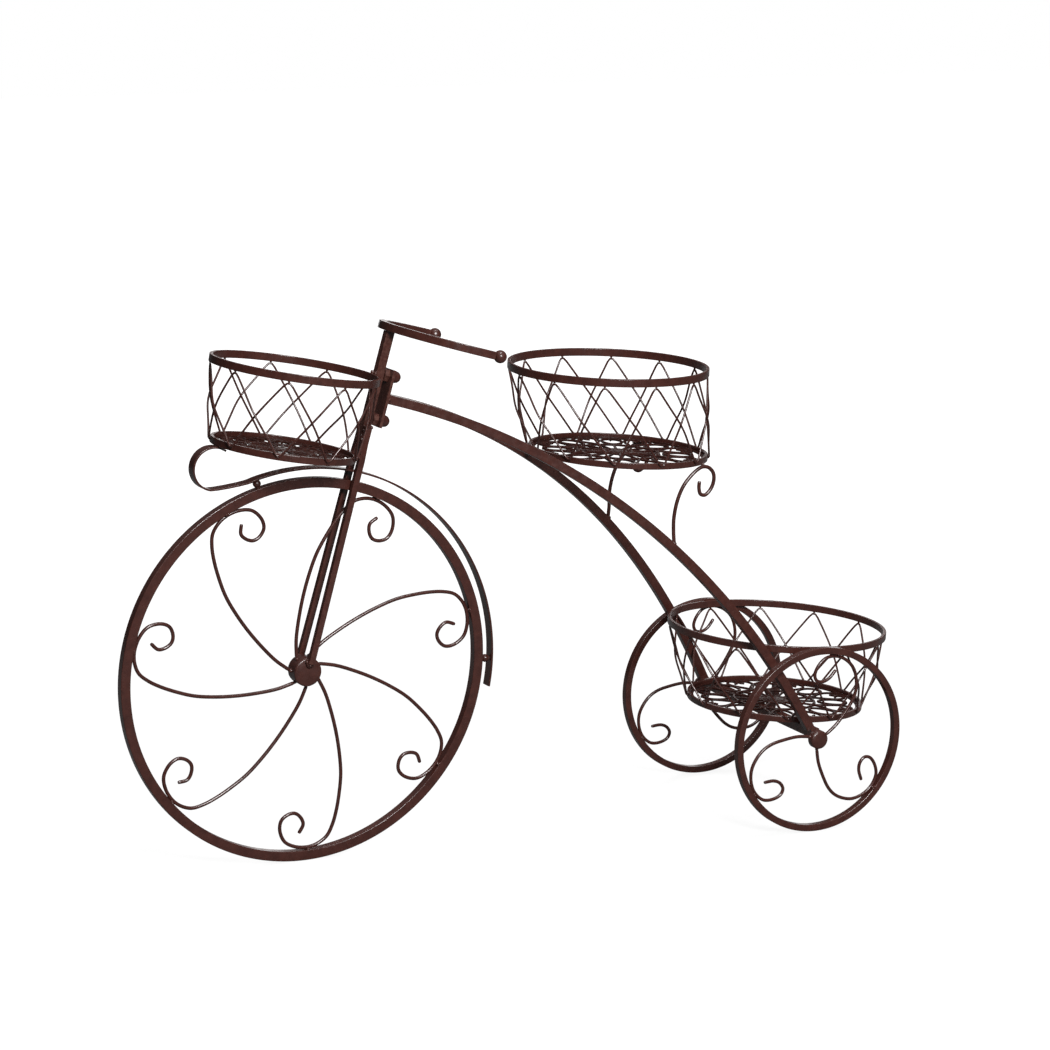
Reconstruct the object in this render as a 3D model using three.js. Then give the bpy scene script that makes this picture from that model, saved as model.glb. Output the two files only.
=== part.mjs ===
// A tricycle planter of painted iron: a large front wheel, two small rear wheels,
// a pair of curved frame tubes and three open wire baskets.
// The frame is millimetres, +X to the rear, +Z up, ground at zero.
import * as THREE from 'three';

// Wheels.
const seatGap = 0.3;                // clearance between pieces that touch
const frontWheelX = -238.2;         // axle of the front wheel
const frontRimRadius = 200;
const frontRimDepth = 10.2;
const frontRimWidth = 10.3;
const frontHubRadius = 15;
const frontHubLength = 21;
const frontSpokeWire = 3.8;
const frontSpokeCount = 7;
const frontSpokeFirst = 117;        // degrees, where the first scroll meets the rim
const rearWheelX = 300.2;           // axle of the rear wheels
const rearRimRadius = 100;
const rearRimDepth = 7.1;
const rearRimWidth = 8.5;
const rearWheelSpread = 123.3;      // middle of each rear wheel from the centre plane
const rearHubRadius = 10;
const rearHubLength = 11;
const rearSpokeWire = 3.6;
const leftSpokeContacts = [213.7, 319.3, 77];     // degrees
const rightSpokeContacts = [214, 337, 83];        // degrees
const hubChamfer = 0.8;
const frontRimSteps = 56;
const rearRimSteps = 44;
const hubSteps = 24;
const wireSides = 5;
const pointShare = 1.25;            // points on a scroll for each of its knots

// Scroll spokes: how far out from the hub to the rim as a share, then degrees from where
// the scroll meets the rim.
const frontScrollShares = [
  [0.104, 43], [0.215, 31.5], [0.349, 26.5], [0.483, 22], [0.611, 18.5], [0.722, 15],
  [0.821, 12], [0.897, 9.5], [0.956, 6.9], [0.988, 3.6], [1, 0], [0.99, -4.4], [0.956, -8.2],
  [0.886, -10.5], [0.827, -10.4], [0.789, -7.8], [0.784, -5], [0.813, -2.6], [0.856, -1.6],
  [0.909, -3.2],
];
const rearScrollShares = [
  [0.186, -45.5], [0.412, -38], [0.575, -34], [0.701, -29.5], [0.814, -23.5], [0.915, -16.5],
  [0.977, -8.5], [1, 0], [0.965, 8.6], [0.864, 14.8], [0.751, 18.2], [0.67, 16.6],
  [0.644, 10], [0.688, 3.6], [0.814, -1.6],
];
const frontScrollStart = 54;        // degrees from the contact, where the wire leaves the hub
const rearScrollStart = -54;        // degrees from the contact, on the other hand
const scrollStartLift = 0.9;        // the slanted end of the wire stands this much off the hub

// Fork, stem and handlebar.
const rake = 15.2;                  // degrees, fork and stem lean to the rear
const forkFootX = -2;               // the fork's line passes this far ahead of the front axle
const legSide = 6.5;
const legOverlap = 5;               // the legs reach this far down over the hub's faces
const legPastFender = 12;           // the legs run on straight this far past the fender
const legBendLength = 18;
const legTopLength = 18;            // straight again, along the sides of the stem
const stemSide = 9;
const tubeWall = 1.2;
const stemFootGap = 1;              // the stem starts this far above the legs' bend
const barRise = 41;                 // middle of the handlebar above the head plate
const barSide = 8;
const barForward = 2;               // the bar's front stands ahead of the stem's line
const barReach = 84.4;              // from the front of the bar to its ends
const barSpread = 76.2;
const barSteps = 22;
const ballRadius = 6.7;

// Head joint.
const plateWidth = 22;
const plateThickness = 3;
const plateLength = 60;
const plateFootGap = 1;             // the plate starts this far above the legs' ends
const boltInset = 7;                // from the plate's ends to the bolts
const boltNames = ['upper', 'lower'];
const boltRadius = 3;
const nutAcross = 12;
const nutHeight = 5.4;
const capFlange = 7;                // radius of the cap nut at its foot
const capDomeRadius = 6.2;
const capHeight = 11;
const capWall = 2.4;
const boltTail = 7;                 // the bolt reaches this far into the cap nut

// Fender.
const fenderStandOff = 10;          // from the front rim to the middle of the strip
const fenderWidth = 13.4;
const fenderThickness = 2;
const fenderRearAngle = -10;        // degrees
const fenderFrontAngle = 108;       // degrees
const curlAhead = 101;              // middle of the front curl, ahead of the front axle
const curlRise = 216.9;             // and above it
const curlRadius = 21.5;
const curlStartAngle = -98;         // degrees
const curlSweep = -208;             // degrees, the curl turns up and back
const postAngles = [105, -2];       // degrees
const postNames = ['front', 'rear'];
const fenderSteps = 24;
const curlSteps = 14;

// Frame tubes and axle.
const tubeSide = 9.5;
const tubeStraight = 4;             // the tubes leave the plate square to it
const tubeLead = 196;               // length of the curve's first handle
const tubeKneeAhead = 106.9;        // the curve's second handle, ahead of the rear axle
const tubeKneeRise = 200;           // and above it
const tubeKneeSpread = 90;
const tubeLeadSpread = 41;
const tubeSteps = 20;
const axleSide = 10;

// Baskets.
const bandThickness = 3.5;
const ringSteps = 40;
const latticeWire = 2.2;
const latticeBulge = 1;             // the inner strands stand this far off a plain cone
const latticeTurn = 1.6;            // half the width of a wire's turn at a ring
const strandShares = [0.25, 0.5, 0.75];
const floorThickness = 2.4;
const floorLift = 0.8;              // the floor stands this far above its ring's lower edge
const bossShare = 0.13;             // the floor's pattern, in shares of its radius
const ribShares = [0.17, 0.48];
const loopMiddleShare = 0.7;
const loopShares = [0.17, 0.115];
const beadMiddleShare = 0.87;
const beadShare = 0.065;
const ribShare = 0.022;
const floorRepeats = 8;
const loopPoints = 10;
const beadPoints = 6;

// Each basket's rings: outer radius, height of the band, tilt in degrees (rear side down).
const frontTopRadius = 86.4;
const frontTopBand = 8;
const frontBottomRadius = 74;
const frontBottomBand = 7;
const frontTilt = 9;
const frontBasketRise = 31.5;       // middle of the bottom ring above the front rim
const frontBasketDepth = 79.5;      // between the middles of the two rings
const frontTopGap = 0.825225;          // the top ring's rear edge stands this far off the stem
const frontBottomGap = 5.795232;       // the bottom ring's rear edge stands this far off the legs
const midTopRadius = 105.5;
const midTopBand = 8.3;
const midTopTilt = 1.5;
const midBottomRadius = 94.4;
const midBottomBand = 6.5;
const midBottomTilt = 3;
const midBasketAhead = 181.7;       // middle of the bottom ring ahead of the rear axle
const midBasketDepth = 89.5;
const midTopAhead = 13.7;           // the top ring's middle is ahead of the bottom ring's
const midSeatAhead = 84;            // the tubes carry the bottom ring this far ahead of its middle
const midSeatRise = 6.276898;          // middle of the ring above the middle of the tubes there
const rearTopRadius = 118.7;
const rearTopBand = 7.5;
const rearBottomRadius = 95.3;
const rearBottomBand = 6.5;
const rearTilt = 3;
const rearBasketRise = 12.6;        // middle of the bottom ring above the rear axle
const rearBasketBehind = 19.2;      // and behind it
const rearBasketDepth = 81.4;
const rearTopBehind = 0.1;          // the top ring's middle is behind the bottom ring's

// Short links between the front basket's bottom ring and the fork's legs.
const linkSpread = 11.3;            // from the centre plane
const linkWidth = 4;
const linkHeight = 3;
const linkTilt = 12;                // degrees

// Scroll supports under the middle basket: along X and up, in shares of their height.
const supportWire = 4;
const supportSpread = 71;           // from the centre plane
const supportFootBehind = 29.3;     // the foot stands behind the middle of the bottom ring
const supportHeight = 66.8;
const supportScrollShares = [
  [0, 0], [0, 0.225], [0.054, 0.494], [0.15, 0.711], [0.278, 0.864], [0.404, 0.963],
  [0.494, 1], [0.599, 0.979], [0.683, 0.889], [0.695, 0.763], [0.644, 0.635], [0.545, 0.548],
  [0.464, 0.569], [0.434, 0.668], [0.44, 0.772],
];

// Colours.
const paintColour = 0x54342d;
const castColour = 0x4c2f29;
const boltColour = 0x5d3a31;

const axisX = new THREE.Vector3(1, 0, 0);
const axisY = new THREE.Vector3(0, 1, 0);
const axisZ = new THREE.Vector3(0, 0, 1);
const zero = new THREE.Vector3();

const group = new THREE.Group();
group.name = 'bicycle_planter';

function radians(degrees) {
  return THREE.MathUtils.degToRad(degrees);
}

function addPiece(name, geometry, slot, colour, roughness, metalness) {
  const material = new THREE.MeshStandardMaterial({ color: colour, roughness, metalness });
  material.name = slot;
  const mesh = new THREE.Mesh(geometry, material);
  mesh.name = name;
  group.add(mesh);
  return mesh;
}

function painted(name, geometry) {
  return addPiece(name, geometry, 'painted_iron', paintColour, 0.42, 0.35);
}

function cast(name, geometry) {
  return addPiece(name, geometry, 'painted_casting', castColour, 0.5, 0.35);
}

function bolted(name, geometry) {
  return addPiece(name, geometry, 'painted_bolts', boltColour, 0.36, 0.45);
}

// A right-handed placing: the shape's own X, Y and Z go to the given directions.
function place(geometry, xWay, yWay, zWay, origin) {
  const matrix = new THREE.Matrix4().makeBasis(xWay, yWay, zWay).setPosition(origin);
  return geometry.applyMatrix4(matrix);
}

// Sections and sweeps.
function squareSection(side) {
  const half = side / 2;
  return [[-half, -half], [half, -half], [half, half], [-half, half]];
}

function flatSection(width, thickness) {
  const across = width / 2;
  const up = thickness / 2;
  return [[-across, -up], [across, -up], [across, up], [-across, up]];
}

function roundSection(diameter, sides) {
  const section = [];
  for (let i = 0; i < sides; i += 1) {
    const turn = (i * 2 * Math.PI) / sides;
    section.push([(diameter / 2) * Math.cos(turn), (diameter / 2) * Math.sin(turn)]);
  }
  return section;
}

function wayAt(points, i, closed) {
  const last = points.length - 1;
  const before = closed ? points[(i + last) % points.length] : points[Math.max(i - 1, 0)];
  const after = closed ? points[(i + 1) % points.length] : points[Math.min(i + 1, last)];
  return after.clone().sub(before).normalize();
}

// Rings of the section's corners at every point; sideAt gives the way its first axis points.
function sectionRings(points, section, sideAt, closed, positions) {
  points.forEach((point, i) => {
    const way = wayAt(points, i, closed);
    const side = sideAt(point, i).clone();
    side.addScaledVector(way, -side.dot(way)).normalize();
    const up = way.clone().cross(side);
    section.forEach(([across, above]) => {
      const corner = point.clone().addScaledVector(side, across).addScaledVector(up, above);
      positions.push(corner.x, corner.y, corner.z);
    });
  });
}

function skinIndex(index, start, rings, count, closed, inward) {
  const spans = closed ? rings : rings - 1;
  for (let i = 0; i < spans; i += 1) {
    const here = start + i * count;
    const next = start + ((i + 1) % rings) * count;
    for (let k = 0; k < count; k += 1) {
      const turn = (k + 1) % count;
      const faces = [here + k, here + turn, next + turn, here + k, next + turn, next + k];
      index.push(...(inward ? faces.reverse() : faces));
    }
  }
}

function finish(positions, index) {
  const geometry = new THREE.BufferGeometry();
  geometry.setAttribute('position', new THREE.Float32BufferAttribute(positions, 3));
  geometry.setIndex(index);
  geometry.computeVertexNormals();
  return geometry;
}

function sweepSolid(points, section, sideAt, closed) {
  const positions = [];
  const index = [];
  const count = section.length;
  sectionRings(points, section, sideAt, closed, positions);
  skinIndex(index, 0, points.length, count, closed, false);
  if (!closed) {
    const last = (points.length - 1) * count;
    for (let k = 1; k < count - 1; k += 1) {
      index.push(0, k + 1, k, last, last + k, last + k + 1);
    }
  }
  return finish(positions, index);
}

// A square tube, open at both ends.
function sweepTube(points, side, sideAt) {
  const positions = [];
  const index = [];
  const outer = squareSection(side);
  const inner = squareSection(side - 2 * tubeWall);
  const count = outer.length;
  sectionRings(points, outer, sideAt, false, positions);
  sectionRings(points, inner, sideAt, false, positions);
  const innerStart = points.length * count;
  skinIndex(index, 0, points.length, count, false, false);
  skinIndex(index, innerStart, points.length, count, false, true);
  const last = (points.length - 1) * count;
  for (let k = 0; k < count; k += 1) {
    const turn = (k + 1) % count;
    const near = innerStart + k;
    const nearTurn = innerStart + turn;
    index.push(k, nearTurn, turn, k, near, nearTurn);
    index.push(last + k, last + turn, last + nearTurn, last + k, last + nearTurn, last + near);
  }
  return finish(positions, index);
}

// Turned shapes.
function plainBand(inner, outer, half) {
  const corners = [[inner, -half], [outer, -half], [outer, half], [inner, half], [inner, -half]];
  return corners.map(([r, h]) => new THREE.Vector2(r, h));
}

function chamferedDrum(radius, half, cut) {
  const corners = [
    [0, -half], [radius - cut, -half], [radius, -half + cut],
    [radius, half - cut], [radius - cut, half], [0, half],
  ];
  return corners.map(([r, h]) => new THREE.Vector2(r, h));
}

// A lathe turns round Y, which is the way of every wheel's axle.
function turnedOnAxle(profile, steps, x, y, z) {
  return new THREE.LatheGeometry(profile, steps).translate(x, y, z);
}

function addRim(name, x, y, radius, depth, width, steps) {
  const profile = plainBand(radius - depth, radius, width / 2);
  painted(name, turnedOnAxle(profile, steps, x, y, radius));
}

function addHub(name, x, y, z, radius, length) {
  const profile = chamferedDrum(radius, length / 2, hubChamfer);
  painted(name, turnedOnAxle(profile, hubSteps, x, y, z));
}

// Scroll spokes.
function scrollPoints(shares, startTurn, contact, hubRadius, rimInner, wire, middle) {
  const start = hubRadius + seatGap + scrollStartLift;
  const reach = rimInner - seatGap - wire / 2;
  const knots = [[0, startTurn], ...shares].map(([share, turn]) => {
    const angle = radians(contact + turn);
    const radius = THREE.MathUtils.lerp(start, reach, share);
    return new THREE.Vector3(radius * Math.cos(angle), 0, radius * Math.sin(angle)).add(middle);
  });
  return new THREE.CatmullRomCurve3(knots).getPoints(Math.round(pointShare * knots.length));
}

function addSpoke(name, points, wire) {
  painted(name, sweepSolid(points, roundSection(wire, wireSides), () => axisY, false));
}

function addFrontWheel() {
  const radius = frontRimRadius;
  addRim('front_rim', frontWheelX, 0, radius, frontRimDepth, frontRimWidth, frontRimSteps);
  addHub('front_hub', frontWheelX, 0, radius, frontHubRadius, frontHubLength);
  const middle = new THREE.Vector3(frontWheelX, 0, radius);
  for (let i = 0; i < frontSpokeCount; i += 1) {
    const contact = frontSpokeFirst + (i * 360) / frontSpokeCount;
    const points = scrollPoints(
      frontScrollShares, frontScrollStart, contact,
      frontHubRadius, radius - frontRimDepth, frontSpokeWire, middle);
    addSpoke(`front_spoke_${i + 1}`, points, frontSpokeWire);
  }
}

function addRearWheel(side, sign, contacts) {
  const y = sign * rearWheelSpread;
  const radius = rearRimRadius;
  addRim(`rear_rim_${side}`, rearWheelX, y, radius, rearRimDepth, rearRimWidth, rearRimSteps);
  addHub(`rear_hub_${side}`, rearWheelX, y, radius, rearHubRadius, rearHubLength);
  const middle = new THREE.Vector3(rearWheelX, y, radius);
  contacts.forEach((contact, i) => {
    const points = scrollPoints(
      rearScrollShares, rearScrollStart, contact,
      rearHubRadius, radius - rearRimDepth, rearSpokeWire, middle);
    addSpoke(`rear_spoke_${side}_${i + 1}`, points, rearSpokeWire);
  });
}

// Places along the fork, from the front axle.
const fenderRadius = frontRimRadius + fenderStandOff;
const legBendStart = fenderRadius + legPastFender;
const legBendEnd = legBendStart + legBendLength;
const legEnd = legBendEnd + legTopLength;
const stemStart = legBendEnd + stemFootGap;
const plateStart = legEnd + plateFootGap;
const plateEnd = plateStart + plateLength;
const boltHeights = [plateEnd - boltInset, plateStart + boltInset];
const barHeight = plateEnd + barRise;

// Fork line.
const forkWay = new THREE.Vector3(Math.sin(radians(rake)), 0, Math.cos(radians(rake)));
const rearWay = new THREE.Vector3(Math.cos(radians(rake)), 0, -Math.sin(radians(rake)));
const forkFoot = new THREE.Vector3(frontWheelX + forkFootX, 0, frontRimRadius);

// A point given along the fork, across it, and behind it.
function forkPoint(along, across, behind) {
  const point = forkFoot.clone().addScaledVector(forkWay, along);
  return point.addScaledVector(rearWay, behind).addScaledVector(axisY, across);
}

function addForkLeg(side, sign) {
  const hubSpread = frontHubLength / 2 + seatGap + legSide / 2;
  const passSpread = fenderWidth / 2 + seatGap + legSide / 2;
  const stemSpread = stemSide / 2 + seatGap + legSide / 2;
  const points = [
    forkPoint(frontHubRadius - legOverlap, sign * hubSpread, 0),
    forkPoint(fenderRadius, sign * passSpread, 0),
    forkPoint(legBendStart, sign * passSpread, 0),
    forkPoint(legBendEnd, sign * stemSpread, 0),
    forkPoint(legEnd, sign * stemSpread, 0),
  ];
  painted(`fork_leg_${side}`, sweepSolid(points, squareSection(legSide), () => rearWay, false));
}

function addStem() {
  const top = barHeight - barSide / 2 - seatGap;
  const points = [forkPoint(stemStart, 0, 0), forkPoint(top, 0, 0)];
  painted('stem', sweepTube(points, stemSide, () => axisY));
}

function barPoint(turn) {
  const behind = barReach * (1 - Math.cos(turn)) - barForward;
  return forkPoint(barHeight, barSpread * Math.sin(turn), behind);
}

function addHandlebar() {
  const points = [];
  for (let i = 0; i <= barSteps; i += 1) {
    points.push(barPoint((i / barSteps - 0.5) * Math.PI));
  }
  painted('handlebar', sweepTube(points, barSide, () => forkWay));
  const ballBehind = barReach - barForward + ballRadius + seatGap;
  [['left', -1], ['right', 1]].forEach(([side, sign]) => {
    const middle = forkPoint(barHeight, sign * barSpread, ballBehind);
    const ball = new THREE.SphereGeometry(ballRadius, 12, 8);
    painted(`handlebar_ball_${side}`, ball.translate(middle.x, middle.y, middle.z));
  });
}

// Head joint.
const plateFront = stemSide / 2 + nutHeight + 2 * seatGap;
const plateRear = plateFront + plateThickness;

// Puts a shape that points along its own Z onto the fork, pointing to the rear.
function facingRear(geometry, along, behind) {
  return place(geometry, axisY, forkWay, rearWay, forkPoint(along, 0, behind));
}

function circlePath(x, y, radius, steps, backwards) {
  const path = new THREE.Path();
  path.absarc(x, y, radius, 0, 2 * Math.PI, backwards);
  return new THREE.Path(path.getPoints(steps).slice(0, -1));
}

function addHeadPlate() {
  const half = plateWidth / 2;
  const middle = (plateStart + plateEnd) / 2;
  const low = plateStart - middle;
  const high = plateEnd - middle;
  const shape = new THREE.Shape([
    new THREE.Vector2(-half, low), new THREE.Vector2(half, low),
    new THREE.Vector2(half, high), new THREE.Vector2(-half, high),
  ]);
  boltHeights.forEach((height) => {
    shape.holes.push(circlePath(0, height - middle, boltRadius + seatGap, 6, true));
  });
  const plate = new THREE.ExtrudeGeometry(shape, { depth: plateThickness, bevelEnabled: false });
  painted('head_plate', facingRear(plate, middle, plateFront));
}

function addHeadBolts() {
  boltHeights.forEach((height, i) => {
    const length = plateRear + boltTail - stemSide / 2 - seatGap;
    const shank = new THREE.CylinderGeometry(boltRadius, boltRadius, length, 12);
    shank.rotateX(Math.PI / 2).translate(0, 0, length / 2);
    bolted(`head_bolt_${boltNames[i]}`, facingRear(shank, height, stemSide / 2 + seatGap));
  });
}

function addSpacerNuts() {
  const outline = roundSection(nutAcross / Math.cos(Math.PI / 6), 6);
  boltHeights.forEach((height, i) => {
    const shape = new THREE.Shape(outline.map(([x, y]) => new THREE.Vector2(x, y)));
    shape.holes.push(circlePath(0, 0, boltRadius + seatGap, 6, true));
    const nut = new THREE.ExtrudeGeometry(shape, { depth: nutHeight, bevelEnabled: false });
    const foot = stemSide / 2 + seatGap;
    bolted(`head_spacer_nut_${boltNames[i]}`, facingRear(nut, height, foot));
  });
}

function addCapNuts() {
  const bore = boltRadius + seatGap;
  const boreEnd = boltTail + seatGap;
  const shoulder = capHeight - capDomeRadius;
  const profile = [
    new THREE.Vector2(0, boreEnd), new THREE.Vector2(bore, boreEnd), new THREE.Vector2(bore, 0),
    new THREE.Vector2(capFlange, 0), new THREE.Vector2(capFlange, capWall),
    new THREE.Vector2(capDomeRadius, shoulder),
  ];
  for (let i = 1; i <= 5; i += 1) {
    const turn = (i * Math.PI) / 10;
    const radius = i === 5 ? 0 : capDomeRadius * Math.cos(turn);
    profile.push(new THREE.Vector2(radius, shoulder + capDomeRadius * Math.sin(turn)));
  }
  boltHeights.forEach((height, i) => {
    const cap = new THREE.LatheGeometry(profile, 14).rotateX(Math.PI / 2);
    bolted(`head_cap_nut_${boltNames[i]}`, facingRear(cap, height, plateRear + seatGap));
  });
}

// Fender.
function onFrontWheel(radius, degrees) {
  const angle = radians(degrees);
  const x = frontWheelX + radius * Math.cos(angle);
  return new THREE.Vector3(x, 0, frontRimRadius + radius * Math.sin(angle));
}

function onCurl(degrees) {
  const angle = radians(degrees);
  const x = frontWheelX - curlAhead + curlRadius * Math.cos(angle);
  return new THREE.Vector3(x, 0, frontRimRadius + curlRise + curlRadius * Math.sin(angle));
}

function addFender() {
  const knots = [];
  for (let i = 0; i <= fenderSteps; i += 1) {
    const share = i / fenderSteps;
    knots.push(onFrontWheel(fenderRadius, THREE.MathUtils.lerp(
      fenderRearAngle, fenderFrontAngle, share)));
  }
  for (let i = 0; i <= curlSteps; i += 1) {
    knots.push(onCurl(curlStartAngle + (curlSweep * i) / curlSteps));
  }
  const points = new THREE.CatmullRomCurve3(knots).getPoints(knots.length);
  const section = flatSection(fenderWidth, fenderThickness);
  painted('fender', sweepSolid(points, section, () => axisY, false));
}

function addFenderPosts() {
  const innerFace = fenderRadius - fenderThickness / 2;
  const radius = (innerFace - frontRimRadius) / 2 - seatGap;
  const middle = (innerFace + frontRimRadius) / 2;
  postAngles.forEach((angle, i) => {
    const at = onFrontWheel(middle, angle);
    const ball = new THREE.SphereGeometry(radius, 10, 6);
    painted(`fender_post_${postNames[i]}`, ball.translate(at.x, at.y, at.z));
  });
}

// Frame tubes and axle.
const rearBottom = {
  x: rearWheelX + rearBasketBehind,
  z: rearRimRadius + rearBasketRise,
  radius: rearBottomRadius,
  tilt: rearTilt,
  height: rearBottomBand,
};

function ringHeightAt(ring, x) {
  return ring.z + (ring.x - x) * Math.tan(radians(ring.tilt));
}

const axleTop = ringHeightAt(rearBottom, rearWheelX) - rearBottom.height / 2 - seatGap;
const axleReach = rearWheelSpread - rearHubLength / 2 - seatGap;

// Each tube leaves the head plate square to it and ends square on the axle's front edge.
function tubePoints(sign) {
  const head = forkPoint((plateStart + plateEnd) / 2, 0, plateRear + seatGap);
  const knee = new THREE.Vector3(rearWheelX - tubeKneeAhead, 0, rearRimRadius + tubeKneeRise);
  const foot = new THREE.Vector3(rearWheelX - axleSide / 2, 0, axleTop);
  const arrival = foot.clone().sub(knee).normalize();
  foot.addScaledVector(arrival, -seatGap);
  head.y = sign * (tubeSide / 2 + seatGap / 2);
  knee.y = sign * tubeKneeSpread;
  foot.y = sign * (axleReach - tubeSide / 2);
  const bendStart = head.clone().addScaledVector(rearWay, tubeStraight);
  const bendEnd = foot.clone().addScaledVector(arrival, -tubeStraight);
  const lead = bendStart.clone().addScaledVector(rearWay, tubeLead).setY(sign * tubeLeadSpread);
  const bend = new THREE.CubicBezierCurve3(bendStart, lead, knee, bendEnd);
  return [head, ...bend.getSpacedPoints(tubeSteps), foot];
}

function addFrameTube(side, sign) {
  const points = tubePoints(sign);
  const sideAt = (point, i) => wayAt(points, i, false).setY(0).normalize().cross(axisY);
  painted(`frame_tube_${side}`, sweepTube(points, tubeSide, sideAt));
}

function addAxle() {
  const z = axleTop - axleSide / 2;
  const points = [
    new THREE.Vector3(rearWheelX, -axleReach, z), new THREE.Vector3(rearWheelX, axleReach, z),
  ];
  painted('rear_axle', sweepTube(points, axleSide, () => axisX));
}

// The height of the tubes' middle line at a place along X.
function tubeHeightAt(x) {
  const points = tubePoints(1);
  const next = points.findIndex((point) => point.x > x);
  const before = points[next - 1];
  const after = points[next];
  return THREE.MathUtils.mapLinear(x, before.x, after.x, before.z, after.z);
}

// Where a leaning piece of the fork has its front face, at a given height.
function forkFrontX(z, side) {
  const lean = Math.tan(radians(rake));
  return forkFoot.x + (z - forkFoot.z) * lean - side / 2 / rearWay.x;
}

// A front ring whose rear edge stands a given gap ahead of the fork.
function frontRing(z, radius, height, side, gap) {
  const edgeZ = z - radius * Math.sin(radians(frontTilt));
  const edgeX = forkFrontX(edgeZ, side) - gap;
  return { x: edgeX - radius * Math.cos(radians(frontTilt)), z, radius, tilt: frontTilt, height };
}

const frontBottomZ = 2 * frontRimRadius + frontBasketRise;
const frontTopZ = frontBottomZ + frontBasketDepth;
const midBottomX = rearWheelX - midBasketAhead;
const midBottomZ = tubeHeightAt(midBottomX - midSeatAhead) + midSeatRise;

const frontBasket = {
  name: 'front',
  nodes: 9,
  firstNode: 3,
  top: frontRing(frontTopZ, frontTopRadius, frontTopBand, stemSide, frontTopGap),
  bottom: frontRing(frontBottomZ, frontBottomRadius, frontBottomBand, legSide, frontBottomGap),
};
const midBasket = {
  name: 'mid',
  nodes: 12,
  firstNode: 0,
  top: {
    x: midBottomX - midTopAhead,
    z: midBottomZ + midBasketDepth,
    radius: midTopRadius,
    tilt: midTopTilt,
    height: midTopBand,
  },
  bottom: {
    x: midBottomX,
    z: midBottomZ,
    radius: midBottomRadius,
    tilt: midBottomTilt,
    height: midBottomBand,
  },
};
const rearBasket = {
  name: 'rear',
  nodes: 12,
  firstNode: 8,
  top: {
    x: rearBottom.x + rearTopBehind,
    z: rearBottom.z + rearBasketDepth,
    radius: rearTopRadius,
    tilt: rearTilt,
    height: rearTopBand,
  },
  bottom: rearBottom,
};

// Baskets.
// Puts a shape made round Z at its ring's place and tilt.
function onRing(geometry, ring) {
  return geometry.rotateY(radians(ring.tilt)).translate(ring.x, 0, ring.z);
}

function ringPoint(ring, turn, radius, height) {
  const point = new THREE.Vector3(radius * Math.cos(turn), radius * Math.sin(turn), height);
  point.applyAxisAngle(axisY, radians(ring.tilt));
  return point.add(new THREE.Vector3(ring.x, 0, ring.z));
}

// The flats of a ring's many-sided inner face stand closer to the middle than its corners.
function innerFlat(ring) {
  return (ring.radius - bandThickness) * Math.cos(Math.PI / ringSteps);
}

function addRing(name, ring) {
  const profile = plainBand(ring.radius - bandThickness, ring.radius, ring.height / 2);
  const band = new THREE.LatheGeometry(profile, ringSteps).rotateX(Math.PI / 2);
  painted(name, onRing(band, ring));
}

// One strand of the lattice between a turn at the top ring and one at the bottom ring.
function strandPoints(basket, from, down) {
  const { top, bottom, nodes, firstNode } = basket;
  const wire = latticeWire / 2;
  const topRadius = top.radius - bandThickness / 2;
  const topDrop = -top.height / 2 - seatGap - wire;
  const bottomRadius = bottom.radius + seatGap + wire;
  const step = (2 * Math.PI) / nodes;
  const start = radians(firstNode) + from * step;
  const bulge = latticeBulge + (down ? latticeWire + seatGap : 0);
  const shares = [0, ...strandShares, 1];
  return shares.map((share) => {
    const sunk = down ? share : 1 - share;
    const turnHalf = latticeTurn / THREE.MathUtils.lerp(topRadius, bottomRadius, sunk);
    const turn = start + turnHalf + share * (step - 2 * turnHalf);
    const swell = bulge * Math.sin(Math.PI * share) ** 4;
    const high = ringPoint(top, turn, topRadius + swell, topDrop);
    const low = ringPoint(bottom, turn, bottomRadius + swell, 0);
    return high.lerp(low, sunk);
  });
}

function addLatticeWire(name, basket, firstStrand, strandCount) {
  const points = [];
  for (let i = 0; i < strandCount; i += 1) {
    points.push(...strandPoints(basket, firstStrand + i, i % 2 === 0));
  }
  const middle = new THREE.Vector3((basket.top.x + basket.bottom.x) / 2, 0, 0);
  const outward = (point) => point.clone().sub(middle).setZ(0).normalize();
  const section = roundSection(latticeWire, 5);
  painted(name, sweepSolid(points, section, outward, true));
}

// An even count closes into two wires, an odd count into one that goes round twice.
function addLattice(basket) {
  if (basket.nodes % 2 === 0) {
    addLatticeWire(`${basket.name}_lattice_a`, basket, 0, basket.nodes);
    addLatticeWire(`${basket.name}_lattice_b`, basket, 1, basket.nodes);
  } else {
    addLatticeWire(`${basket.name}_lattice`, basket, 0, 2 * basket.nodes);
  }
}

function ovalPath(middle, long, wide, turn, count) {
  const points = [];
  for (let i = 0; i < count; i += 1) {
    const angle = (-2 * Math.PI * i) / count;
    const point = new THREE.Vector2(middle + long * Math.cos(angle), wide * Math.sin(angle));
    points.push(point.rotateAround(new THREE.Vector2(), turn));
  }
  return new THREE.Path(points);
}

function ribSlot(inner, outer, rib, turn, step) {
  const points = [];
  const innerHalf = step / 2 - Math.asin(rib / inner);
  const outerHalf = step / 2 - Math.asin(rib / outer);
  [[inner, innerHalf], [outer, -outerHalf]].forEach(([radius, half]) => {
    [1, 0, -1].forEach((share) => {
      const angle = turn + share * half;
      points.push(new THREE.Vector2(radius * Math.cos(angle), radius * Math.sin(angle)));
    });
  });
  return new THREE.Path(points);
}

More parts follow.
